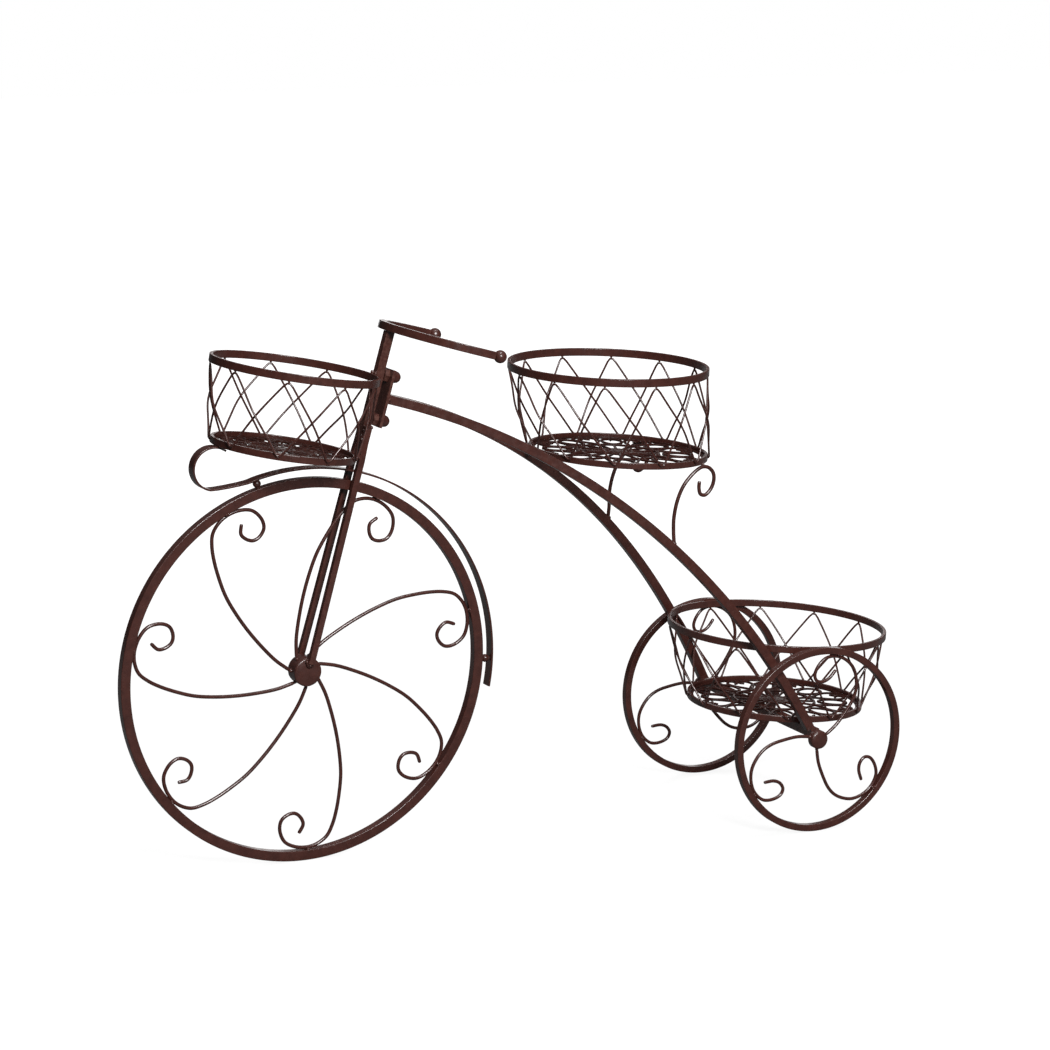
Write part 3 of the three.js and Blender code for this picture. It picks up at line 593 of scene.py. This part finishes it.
def paint(name, dark, light, look):
    """Baked brown paint: mottled colour, worn edges, uneven gloss and small lumps."""
    material = bpy.data.materials.new(name)
    material.use_nodes = True
    tree = material.node_tree
    shader = tree.nodes["Principled BSDF"]
    coords = add_node(tree, "ShaderNodeTexCoord").outputs["Object"]
    lumps = paint_lumps(tree, coords, look)
    tree.links.new(paint_colour(tree, coords, dark, light, look), shader.inputs["Base Color"])
    tree.links.new(paint_roughness(tree, coords, look), shader.inputs["Roughness"])
    tree.links.new(lumps, shader.inputs["Normal"])
    tree.links.new(lumps, shader.inputs["Coat Normal"])
    shader.inputs["Metallic"].default_value = look["metal"]
    shader.inputs["Specular IOR Level"].default_value = look["specular"]
    shader.inputs["Coat Weight"].default_value = look["coat"]
    shader.inputs["Coat Roughness"].default_value = look["coat_rough"]
    return material


IRON = paint("painted_iron", DARK_BROWN, BROWN, PAINT_LOOK)
WIRE = paint("painted_wire", DARK_BROWN, BROWN, WIRE_LOOK)
HAMMERED = paint("hammered_iron", DARK_BROWN, BROWN, HAMMER_LOOK)
# The cast floors run from the deeper brown up to the dark brown, a step darker than the other iron:
# painted shade.
SHADED_CASTING = paint("painted_casting", SHADED_CAST_BROWN, DARK_BROWN, CAST_LOOK)
BOLTS = paint("painted_bolts", DARK_BROWN, BROWN, BOLT_LOOK)
WELDED = paint("painted_weld", DARK_BROWN, BROWN, WELD_LOOK)


# Pieces that several parts share.
def make_wire(name, points, wire):
    """A scroll of round wire that replaces one node."""
    shape = Shape().sweep(points, round_bar(wire), Y, swell=blunt_ends(len(points)))
    shape.piece(name + "_wire", WIRE, "painted_iron", name)


def blunt_ends(count):
    """The first and last rings of a wire draw in, for rounded ends."""
    def swell(i):
        at_end = i in (0, count - 1)
        return math.sqrt(1 - (1 - WIRE_END) ** 2) if at_end else 1.0
    return swell


def make_ball(node):
    middle, size = middle_and_size(node)
    radius = size.x / 2
    angles = [math.pi * (i / BALL_RINGS - 0.5) for i in range(BALL_RINGS + 1)]
    profile = [(radius * math.cos(angle), radius * math.sin(angle)) for angle in angles]
    shape = Shape().lathe(profile, Matrix.Translation(middle), 2 * BALL_RINGS)
    shape.piece(node + "_paint", BOLTS, "painted_iron", node)


def make_beads(name, spots):
    """All the weld beads of one part of the stand, as one piece."""
    shape = Shape()
    for number, (spot, size) in enumerate(spots):
        shape.blob(spot, size, number * BEAD_SEED_STEP)
    shape.piece(name, WELDED, "painted_iron", smooth_angle=BEAD_SMOOTH_ANGLE)


# Wheels.
def make_rim(name, middle, size, depth):
    radius = size.x / 2 - depth / 2
    turns = [360 * i / RIM_STEPS for i in range(RIM_STEPS)]
    circle = [middle + flat_way(turn) * radius for turn in turns]
    section = rounded_box(size.y, depth, RIM_ROUNDING)
    shape = Shape().sweep(circle, section, Y, closed=True)
    shape.piece(name + "_paint", IRON, "painted_iron", name)


def make_hub(name, middle, size):
    half = size.y / 2
    radius = size.x / 2
    upper = [(0, half), (radius * HUB_FACE_SHARE, half)]
    upper += [(radius - inward, half - HUB_DOME - down) for inward, down in HUB_EDGE]
    profile = [(out, -height) for out, height in upper] + upper[::-1]
    along_axle = Matrix.Translation(middle) @ Matrix.Rotation(math.radians(-90), 4, "X")
    shape = Shape().lathe(profile, along_axle, HUB_STEPS)
    shape.piece(name + "_paint", HAMMERED, "painted_iron", name)


def scroll_points(shares, first_turn, contact, middle, hub_radius, rim_inner, wire):
    start = hub_radius + SEAT_GAP + SPOKE_LIFT
    reach = rim_inner - SEAT_GAP - wire / 2
    knots = []
    for share, turn in [(0, first_turn)] + shares:
        knots.append(middle + flat_way(contact + turn) * (start + (reach - start) * share))
    return spline(knots, SCROLL_STEPS)


def spoke_beads(middle, contact, rim_inner, rim_width, wire):
    """Beads where a scroll touches the rim's inner face, and at that face's corners."""
    way = flat_way(contact)
    spot = middle + way * (rim_inner - wire * SPOKE_BEAD_SUNK)
    spots = [(spot + Y * wire * lean, wire * SPOKE_BEAD)
             for lean in (SPOKE_BEAD_APART, -SPOKE_BEAD_APART)]
    for lean in (-1, 1):
        corner = middle + way * (rim_inner + RIM_BEAD_RISE) + way.cross(Y) * lean * RIM_BEAD_APART
        across = Y * (rim_width / 2 - RIM_BEAD_SUNK)
        spots += [(corner - across, RIM_BEAD), (corner + across, RIM_BEAD)]
    return spots


def make_wheel(rim, hub, spokes, shares, first_turn, contacts, depth, wire):
    middle, rim_size = middle_and_size(rim)
    hub_size = middle_and_size(hub)[1]
    hub_radius = hub_size.x / 2
    rim_inner = rim_size.x / 2 - depth
    make_rim(rim, middle, rim_size, depth)
    make_hub(hub, middle, hub_size)
    spots = []
    for number, contact in enumerate(contacts, start=1):
        points = scroll_points(
            shares, first_turn, contact, middle, hub_radius, rim_inner, wire)
        make_wire(f"{spokes}_{number}", points, wire)
        spots += spoke_beads(middle, contact, rim_inner, rim_size.y, wire)
        hub_way = (points[0] - middle).normalized()
        spots.append((middle + hub_way * (hub_radius + HUB_BEAD_LIFT), wire * HUB_BEAD))
    make_beads(f"{hub}_welds", spots)


# Fork, stem and handlebar.
def make_fork():
    at_hub = HUB_FACE + LEG_SIDE / 2
    at_pass = FENDER_WIDTH / 2 + SEAT_GAP + LEG_SIDE / 2
    at_stem = STEM_FACE + LEG_SIDE / 2
    stations = [
        (LEG_FOOT, at_hub), (LEG_PASS, at_pass), (LEG_BEND_START, at_pass),
        (LEG_BEND_END, at_stem), (LEG_END, at_stem)]
    for side, sign in SIDES:
        points = [fork_point(along, sign * out, 0) for along, out in stations]
        shape = Shape().sweep(points, square_bar(LEG_SIDE, LEG_ROUNDING), REAR_WAY)
        shape.piece(f"fork_leg_{side}_paint", IRON, "painted_iron", f"fork_leg_{side}")


def make_stem():
    top = BAR_HEIGHT - BAR_SIDE / 2 - SEAT_GAP
    ends = [fork_point(STEM_FOOT, 0, 0), fork_point(top, 0, 0)]
    shape = Shape().sweep(ends, square_bar(STEM_SIDE, STEM_ROUNDING), Y)
    shape.piece("stem_paint", IRON, "painted_iron", "stem")


def make_handlebar():
    points = []
    for i in range(BAR_STEPS + 1):
        turn = (i / BAR_STEPS - 0.5) * math.pi
        behind = (BAR_END + BAR_FORWARD) * (1 - math.cos(turn)) - BAR_FORWARD
        points.append(fork_point(BAR_HEIGHT, BAR_SPREAD * math.sin(turn), behind))
    shape = Shape().sweep(points, square_bar(BAR_SIDE, BAR_ROUNDING), FORK_WAY)
    shape.piece("handlebar_paint", IRON, "painted_iron", "handlebar")
    for side, _ in SIDES:
        make_ball(f"handlebar_ball_{side}")


# Head joint.
def round_edges(node, material):
    """Keeps a frame node, with its edges rounded and painted."""
    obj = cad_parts[node]
    obj.data.materials.clear()
    obj.data.materials.append(material)
    bevel = obj.modifiers.new("rounded", "BEVEL")
    bevel.width = NUT_BEVEL * MM
    bevel.segments = BEVEL_STEPS
    bevel.limit_method = "ANGLE"


def make_cap_nut(name):
    """A domed nut on its bolt, behind the head plate."""
    profile = list(CAP_FLANGE)
    for i in range(1, CAP_DOME_STEPS + 1):
        angle = math.radians(90 * i / CAP_DOME_STEPS)
        profile.append((
            CAP_DOME_RADIUS * math.cos(angle), CAP_DOME_FOOT + CAP_DOME_RADIUS * math.sin(angle)))
    bolt = middle_and_size(f"head_bolt_{name}")[0]
    along = (bolt - FORK_FOOT).dot(FORK_WAY)
    turn = Matrix((Y, FORK_WAY, REAR_WAY)).transposed().to_4x4()
    place = Matrix.Translation(fork_point(along, 0, PLATE_REAR + SEAT_GAP)) @ turn
    node = f"head_cap_nut_{name}"
    shape = Shape().lathe(profile, place, CAP_STEPS)
    shape.piece(node + "_paint", BOLTS, "painted_bolts", node)


def make_head():
    round_edges("head_plate", IRON)
    for name in ("upper", "lower"):
        round_edges(f"head_spacer_nut_{name}", BOLTS)
        round_edges(f"head_bolt_{name}", BOLTS)
        make_cap_nut(name)
    for side, _ in SIDES:
        round_edges(f"front_basket_link_{side}", IRON)


# Fender.
def make_fender():
    knots = arc(FRONT_AXLE, FENDER_RADIUS, FENDER_ANGLES, FENDER_KNOTS)
    knots += arc(CURL_MIDDLE, CURL_RADIUS, CURL_ANGLES, CURL_KNOTS)
    section = rounded_box(FENDER_WIDTH, FENDER_THICKNESS, FENDER_ROUNDING)
    shape = Shape().sweep(spline(knots, STRIP_STEPS), section, Y)
    shape.piece("fender_paint", IRON, "painted_iron", "fender")
    rim = FRONT_RIM_SIZE.x / 2 + POST_BEAD_OUT
    strip = FENDER_RADIUS - FENDER_THICKNESS / 2 - POST_BEAD_OUT
    spots = []
    for name in ("front", "rear"):
        make_ball(f"fender_post_{name}")
        way = (middle_and_size(f"fender_post_{name}")[0] - FRONT_AXLE).normalized()
        spots += [(FRONT_AXLE + way * rim, POST_BEAD), (FRONT_AXLE + way * strip, POST_BEAD)]
    make_beads("fender_welds", spots)


# Frame tubes and axle.
def tube_points(sign):
    """The middle line of one frame tube, from the head joint to the rear axle."""
    head = fork_point(TUBE_HEAD, 0, PLATE_REAR + SEAT_GAP)
    knee = TUBE_KNEE.copy()
    foot = AXLE_MIDDLE + Vector((-AXLE_SIZE.x / 2, 0, AXLE_SIZE.z / 2))
    arrival = (foot - knee).normalized()
    foot -= arrival * SEAT_GAP
    head.y = sign * (TUBE_SIDE + SEAT_GAP) / 2
    knee.y = sign * TUBE_KNEE_SPREAD
    foot.y = sign * (AXLE_SIZE.y - TUBE_SIDE) / 2
    start = head + REAR_WAY * TUBE_STRAIGHT
    end = foot - arrival * TUBE_STRAIGHT
    lead = start + REAR_WAY * TUBE_LEAD
    lead.y = sign * TUBE_LEAD_SPREAD
    return [head] + bezier(start, lead, knee, end, TUBE_STEPS) + [foot]


def make_tube(side, sign):
    points = tube_points(sign)

    def upright_side(i, _):
        way = points[min(i + 1, len(points) - 1)] - points[max(i - 1, 0)]
        way.y = 0
        return way.normalized().cross(Y)

    shape = Shape().sweep(points, square_bar(TUBE_SIDE, TUBE_ROUNDING), upright_side)
    shape.piece(f"frame_tube_{side}_paint", IRON, "painted_iron", f"frame_tube_{side}")


def make_axle():
    half = Y * AXLE_SIZE.y / 2
    ends = [AXLE_MIDDLE - half, AXLE_MIDDLE + half]
    shape = Shape().sweep(ends, square_bar(AXLE_SIZE.x, TUBE_ROUNDING), X)
    shape.piece("rear_axle_paint", IRON, "painted_iron", "rear_axle")


# Baskets.
def make_ring(name, ring):
    turns = [2 * math.pi * i / RING_STEPS for i in range(RING_STEPS)]
    points = [ring_point(ring, turn, ring["r"] - BAND / 2, 0) for turn in turns]
    section = rounded_box(BAND, ring["h"], BAND_ROUNDING)
    shape = Shape().sweep(points, section, lambda i, _: ring_way(ring, turns[i]), closed=True)
    shape.piece(name + "_paint", IRON, "painted_iron", name)


def strand_points(basket, index, down):
    """One strand between the rings; the strands that go down pass outside the others."""
    top = basket["top"]
    bottom = basket["bottom"]
    wire = LATTICE_WIRE / 2
    top_radius = top["r"] - BAND / 2
    top_drop = -top["h"] / 2 - SEAT_GAP - wire
    bottom_radius = bottom["r"] + SEAT_GAP + wire
    step = 2 * math.pi / basket["nodes"]
    start = math.radians(basket["first"]) + index * step
    bulge = LATTICE_BULGE + ((LATTICE_WIRE + SEAT_GAP) if down else 0)
    points = []
    for k in range(STRAND_STEPS + 1):
        share = k / STRAND_STEPS
        sunk = share if down else 1 - share
        half = LATTICE_TURN / (top_radius + (bottom_radius - top_radius) * sunk)
        turn = start + half + share * (step - 2 * half)
        swell = bulge * math.sin(math.pi * share) ** LATTICE_BULGE_POWER
        high = ring_point(top, turn, top_radius + swell, top_drop)
        low = ring_point(bottom, turn, bottom_radius + swell, 0)
        points.append(high.lerp(low, sunk))
    return points


def soften(points):
    """Rounds the turns of a closed wire."""
    count = len(points)
    return [points[i] * 0.5 + (points[i - 1] + points[(i + 1) % count]) * 0.25
            for i in range(count)]


def make_lattice_wire(name, basket, first, count):
    points = []
    for i in range(count):
        points += strand_points(basket, first + i, i % 2 == 0)
    middle = X * (basket["top"]["x"] + basket["bottom"]["x"]) / 2

    def outward(_, point):
        way = point - middle
        way.z = 0
        return way.normalized()

    section = round_bar(LATTICE_WIRE, LATTICE_SIDES)
    shape = Shape().sweep(soften(points), section, outward, closed=True)
    shape.piece(name + "_wire", WIRE, "painted_iron", name)


def lattice_beads(basket):
    """Beads at the lattice's turns, under the top ring and on the bottom ring."""
    top = basket["top"]
    bottom = basket["bottom"]
    spots = []
    for i in range(basket["nodes"]):
        turn = math.radians(basket["first"]) + i * 2 * math.pi / basket["nodes"]
        under = ring_point(top, turn, top["r"] - BAND / 2, -top["h"] / 2 - TOP_STRAND_DROP)
        beside = ring_point(bottom, turn, bottom["r"] + BOTTOM_STRAND_LIFT, 0)
        spots += [(under, TOP_STRAND_BEAD), (beside, BOTTOM_STRAND_BEAD)]
    return spots


def make_lattice(name, basket):
    """An even count of turns takes two wires round the basket, an odd one a single wire."""
    turns = basket["nodes"]
    if turns % 2 == 0:
        make_lattice_wire(f"{name}_lattice_a", basket, 0, turns)
        make_lattice_wire(f"{name}_lattice_b", basket, 1, turns)
    else:
        make_lattice_wire(f"{name}_lattice", basket, 0, 2 * turns)
    make_beads(f"{name}_lattice_welds", lattice_beads(basket))


class Rosette:
    """A cast basket floor: hoops and ribs, a wreath of scrolls and loops, knobs and a boss."""

    def __init__(self, ring):
        self.ring = ring
        self.radius = (ring["r"] - BAND) * math.cos(math.pi / FRAME_RING_STEPS) - SEAT_GAP
        self.level = FLOOR_LIFT - ring["h"] / 2 + FLOOR_THICKNESS / 2
        self.upward = ring_point(ring, 0, 0, 1) - ring_point(ring, 0, 0, 0)
        self.step = 2 * math.pi / FLOOR_REPEATS
        self.shape = Shape()

    def at(self, share, turn):
        return ring_point(self.ring, turn, share * self.radius, self.level)

    def rib(self, points, width, closed=False):
        rounding = min(width, FLOOR_THICKNESS) * RIB_ROUNDING_SHARE
        section = rounded_box(FLOOR_THICKNESS, width, rounding, RIB_CORNER_STEPS)
        self.shape.sweep(points, section, self.upward, closed=closed)

    def hoop(self, share, width, steps):
        turns = [2 * math.pi * i / steps for i in range(steps)]
        self.rib([self.at(share, turn) for turn in turns], width, closed=True)

    def straight_rib(self, turn):
        reach = OUTER_HOOP - INNER_HOOP
        shares = [INNER_HOOP + reach * k / RIB_STEPS for k in range(RIB_STEPS + 1)]
        self.rib([self.at(share, turn) for share in shares], RIB_WIDTH)

    def scroll(self, number, hand):
        knots = [self.at(share, (number + hand * turn) * self.step) for share, turn in FLOOR_SCROLL]
        self.rib(spline(knots, FLOOR_SCROLL_STEPS), RIB_WIDTH)

    def loop(self, number):
        points = []
        for k in range(LOOP_STEPS):
            angle = 2 * math.pi * k / LOOP_STEPS
            out = LOOP_MIDDLE + LOOP_OUT * math.cos(angle)
            turn = (number + 0.5) * self.step + LOOP_ACROSS / LOOP_MIDDLE * math.sin(angle)
            points.append(self.at(out, turn))
        self.rib(points, RIB_WIDTH, closed=True)

    def knobs(self, number):
        on_rib = number * self.step
        on_loop = (number + 0.5) * self.step
        self.shape.blob(self.at(OUTER_HOOP, on_rib), KNOB, number)
        self.shape.blob(
            self.at(LOOP_MIDDLE + LOOP_OUT, on_loop), SMALL_KNOB, number + LOOP_KNOB_SEED)
        self.shape.blob(self.at(KNOB_AT_RIM, on_rib), SMALL_KNOB, number + RIM_KNOB_SEED)

    def boss(self):
        radius = self.radius * INNER_HOOP
        half = FLOOR_THICKNESS / 2
        tilt = Matrix.Rotation(math.radians(self.ring["tilt"]), 4, "Y")
        place = Matrix.Translation(ring_point(self.ring, 0, 0, self.level)) @ tilt
        side = [(radius * out, half * up) for out, up in BOSS_SHARES]
        self.shape.lathe([(0, -half)] + side + [(0, half)], place, BOSS_STEPS)
        for i in range(FLOOR_REPEATS):
            spot = self.at(KNOB_ON_BOSS, (i + 0.5) * self.step)
            self.shape.blob(spot, BOSS_KNOB, i + BOSS_KNOB_SEED)


def make_floor(name, ring):
    floor = Rosette(ring)
    floor.hoop(1 - FLOOR_RIM / 2 / floor.radius, FLOOR_RIM, OUTER_HOOP_STEPS)
    floor.hoop(OUTER_HOOP, OUTER_HOOP_WIDTH, OUTER_HOOP_STEPS)
    floor.hoop(INNER_HOOP, INNER_HOOP_WIDTH, INNER_HOOP_STEPS)
    for i in range(2 * FLOOR_REPEATS):
        floor.straight_rib(i * floor.step / 2)
    for i in range(FLOOR_REPEATS):
        floor.scroll(i, -1)
        floor.scroll(i, 1)
        floor.loop(i)
        floor.knobs(i)
    floor.boss()
    floor.shape.piece(name + "_cast", SHADED_CASTING, "painted_casting", name)


# Mid basket's supports.
def tube_top(points, x):
    """The point on the top face of a tube, over its middle line, at a place along X."""
    near = min(range(1, len(points) - 1), key=lambda i: abs(points[i].x - x))
    slope = points[near + 1] - points[near - 1]
    rise = (x - points[near].x) * slope.z / slope.x
    lift = TUBE_SIDE / 2 * math.hypot(slope.x, slope.z) / slope.x
    return Vector((x, points[near].y, points[near].z + rise + lift))


def make_supports():
    """Two scrolls that stand on the frame tubes and carry the mid basket's ring."""
    ring = BASKETS["mid"]["bottom"]
    apex_x = SUPPORT_FOOT_X + SUPPORT_APEX_SHARE * SUPPORT_HEIGHT
    apex_z = ring_height(ring, apex_x) - ring["h"] / 2 - SEAT_GAP - SUPPORT_WIRE / 2
    spots = []
    for side, sign in SIDES:
        foot = Vector((SUPPORT_FOOT_X, sign * SUPPORT_SPREAD, apex_z - SUPPORT_HEIGHT))
        knots = [foot + (X * along + Z * up) * SUPPORT_HEIGHT for along, up in SUPPORT_SHARES]
        landing = tube_top(tube_points(sign), SUPPORT_FOOT_X) - Z * SUPPORT_SUNK
        landing.y -= sign * SUPPORT_INSET
        points = spline([landing] + knots, SCROLL_STEPS)
        make_wire(f"mid_support_scroll_{side}", points, SUPPORT_WIRE)
        for along, across, up, size in LANDING_BEADS:
            spots.append((landing + Vector((along, sign * across, up)), size))
        at_ring = Vector((apex_x, sign * SUPPORT_SPREAD, apex_z + SUPPORT_WIRE / 2))
        spots.append((at_ring, APEX_BEAD))
    make_beads("mid_support_welds", spots)


# Welds of the fork, head joint and handlebar.
def beads_at(along, out, behind, sign, rows):
    """Rows of beads, moved to a joint and to one side of the stand."""
    return [(fork_point(along + row[0], sign * (out + row[1]), behind + row[2]), row[3])
            for row in rows]


def make_joint_welds():
    front_ring = BASKETS["front"]["top"]
    at_ring = (front_ring["z"] - FRONT_RING_DROP - FORK_FOOT.z) / FORK_WAY.z
    spots = []
    for _, sign in SIDES:
        spots += beads_at(LEG_END, STEM_FACE, 0, sign, LEG_TOP_BEADS)
        spots += beads_at(at_ring, 0, -STEM_SIDE / 2, sign, BASKET_BEADS)
        spots += beads_at(LEG_FOOT, HUB_FACE, 0, sign, LEG_FOOT_BEADS)
        spots += beads_at(TUBE_HEAD, 0, PLATE_REAR, sign, TUBE_HEAD_BEADS)
    spots += beads_at(BAR_HEIGHT - BAR_SIDE / 2, 0, 0, 1, BAR_BEADS)
    make_beads("joint_welds", spots)


# Camera.
def make_camera():
    yaw = math.radians(CAMERA_YAW)
    pitch = math.radians(CAMERA_PITCH)
    roll = math.radians(CAMERA_ROLL)
    right = Vector((math.cos(yaw), math.sin(yaw), 0))
    back = Vector((
        math.sin(yaw) * math.cos(pitch), -math.cos(yaw) * math.cos(pitch), math.sin(pitch)))
    up = back.cross(right)
    across = right * math.cos(roll) + up * math.sin(roll)
    above = up * math.cos(roll) - right * math.sin(roll)
    data = bpy.data.cameras.new("camera")
    data.lens = CAMERA_LENS
    data.sensor_width = CAMERA_SENSOR
    camera = bpy.data.objects.new("camera", data)
    turn = Matrix((across, above, back)).transposed().to_4x4()
    camera.matrix_world = Matrix.Translation(Vector(CAMERA_PLACE) * MM) @ turn
    bpy.context.scene.collection.objects.link(camera)
    bpy.context.scene.camera = camera


# Light.
def camera_ray(tree):
    return add_node(tree, "ShaderNodeLightPath").outputs["Is Camera Ray"]


def make_world():
    """A studio sky, lighter overhead, that is plain white to the camera."""
    world = bpy.data.worlds.new("studio")
    bpy.context.scene.world = world
    world.use_nodes = True
    tree = world.node_tree
    tree.nodes.clear()
    output = add_node(tree, "ShaderNodeOutputWorld")
    coords = add_node(tree, "ShaderNodeTexCoord").outputs["Generated"]
    split = add_node(tree, "ShaderNodeSeparateXYZ")
    tree.links.new(coords, split.inputs[0])
    height = add_node(tree, "ShaderNodeMapRange")
    height.inputs["From Min"].default_value = -1.0
    tree.links.new(split.outputs["Z"], height.inputs["Value"])
    light = add_node(tree, "ShaderNodeBackground")
    light.inputs["Strength"].default_value = SKY_STRENGTH
    tree.links.new(ramp_node(tree, height.outputs["Result"], SKY_STOPS), light.inputs["Color"])
    white = add_node(tree, "ShaderNodeBackground")
    white.inputs["Color"].default_value = (*WHITE, 1)
    mix = add_node(tree, "ShaderNodeMixShader")
    tree.links.new(camera_ray(tree), mix.inputs["Fac"])
    tree.links.new(light.outputs[0], mix.inputs[1])
    tree.links.new(white.outputs[0], mix.inputs[2])
    tree.links.new(mix.outputs[0], output.inputs["Surface"])


def make_lamp(name, place, size, power, in_shine):
    data = bpy.data.lights.new(name, "AREA")
    data.shape = "RECTANGLE"
    data.size = size[0]
    data.size_y = size[1]
    data.energy = power
    lamp = bpy.data.objects.new(name, data)
    lamp.location = place
    way = Vector(place) - Vector(LIGHT_TARGET)
    lamp.rotation_euler = way.to_track_quat("Z", "Y").to_euler()
    lamp.visible_camera = False
    lamp.visible_glossy = in_shine
    bpy.context.scene.collection.objects.link(lamp)


# Ground.
def ground_glow(tree):
    """A glow that only the camera sees, fuller away from the stand."""
    coords = add_node(tree, "ShaderNodeTexCoord").outputs["Object"]
    away = add_node(tree, "ShaderNodeVectorMath", operation="LENGTH")
    tree.links.new(coords, away.inputs[0])
    glow = add_node(tree, "ShaderNodeMapRange")
    glow.inputs["From Min"].default_value = GROUND_FADE[0]
    glow.inputs["From Max"].default_value = GROUND_FADE[1]
    glow.inputs["To Min"].default_value = GROUND_GLOW
    glow.inputs["To Max"].default_value = 1.0
    tree.links.new(away.outputs["Value"], glow.inputs["Value"])
    return multiply_node(tree, glow.outputs["Result"], camera_ray(tree))


def ground_material():
    material = bpy.data.materials.new("pale_ground")
    material.use_nodes = True
    tree = material.node_tree
    shader = tree.nodes["Principled BSDF"]
    shader.inputs["Base Color"].default_value = (*GROUND_COLOUR, 1.0)
    shader.inputs["Roughness"].default_value = 1.0
    shader.inputs["Specular IOR Level"].default_value = 0.0
    shader.inputs["Emission Color"].default_value = (*WHITE, 1)
    tree.links.new(ground_glow(tree), shader.inputs["Emission Strength"])
    return material


def make_ground():
    """A pale floor: white to the camera, a little less so where a shadow falls."""
    mesh = bpy.data.meshes.new("ground")
    corners = [(-1, -1), (1, -1), (1, 1), (-1, 1)]
    places = [(x * GROUND_REACH, y * GROUND_REACH, -GROUND_DROP) for x, y in corners]
    mesh.from_pydata(places, [], [(0, 1, 2, 3)])
    mesh.materials.append(ground_material())
    ground = bpy.data.objects.new("ground", mesh)
    bpy.context.scene.collection.objects.link(ground)


# The whole stand.
def make_stand():
    make_wheel("front_rim", "front_hub", "front_spoke", FRONT_SCROLL_SHARES,
               FRONT_SCROLL_START, FRONT_CONTACTS, FRONT_RIM_DEPTH, FRONT_WIRE)
    for side, contacts in REAR_CONTACTS.items():
        make_wheel(f"rear_rim_{side}", f"rear_hub_{side}", f"rear_spoke_{side}",
                   REAR_SCROLL_SHARES, REAR_SCROLL_START, contacts, REAR_RIM_DEPTH, REAR_WIRE)
    make_fork()
    make_stem()
    make_handlebar()
    make_head()
    make_fender()
    for side, sign in SIDES:
        make_tube(side, sign)
    make_axle()
    for name, basket in BASKETS.items():
        make_ring(f"{name}_top_ring", basket["top"])
        make_ring(f"{name}_bottom_ring", basket["bottom"])
        make_lattice(name, basket)
        make_floor(f"{name}_floor", basket["bottom"])
    make_supports()
    make_joint_welds()


def make_studio():
    make_world()
    make_ground()
    for lamp in LAMPS:
        make_lamp(*lamp)
    make_camera()
    bpy.context.scene.view_settings.view_transform = "Standard"


make_stand()
make_studio()
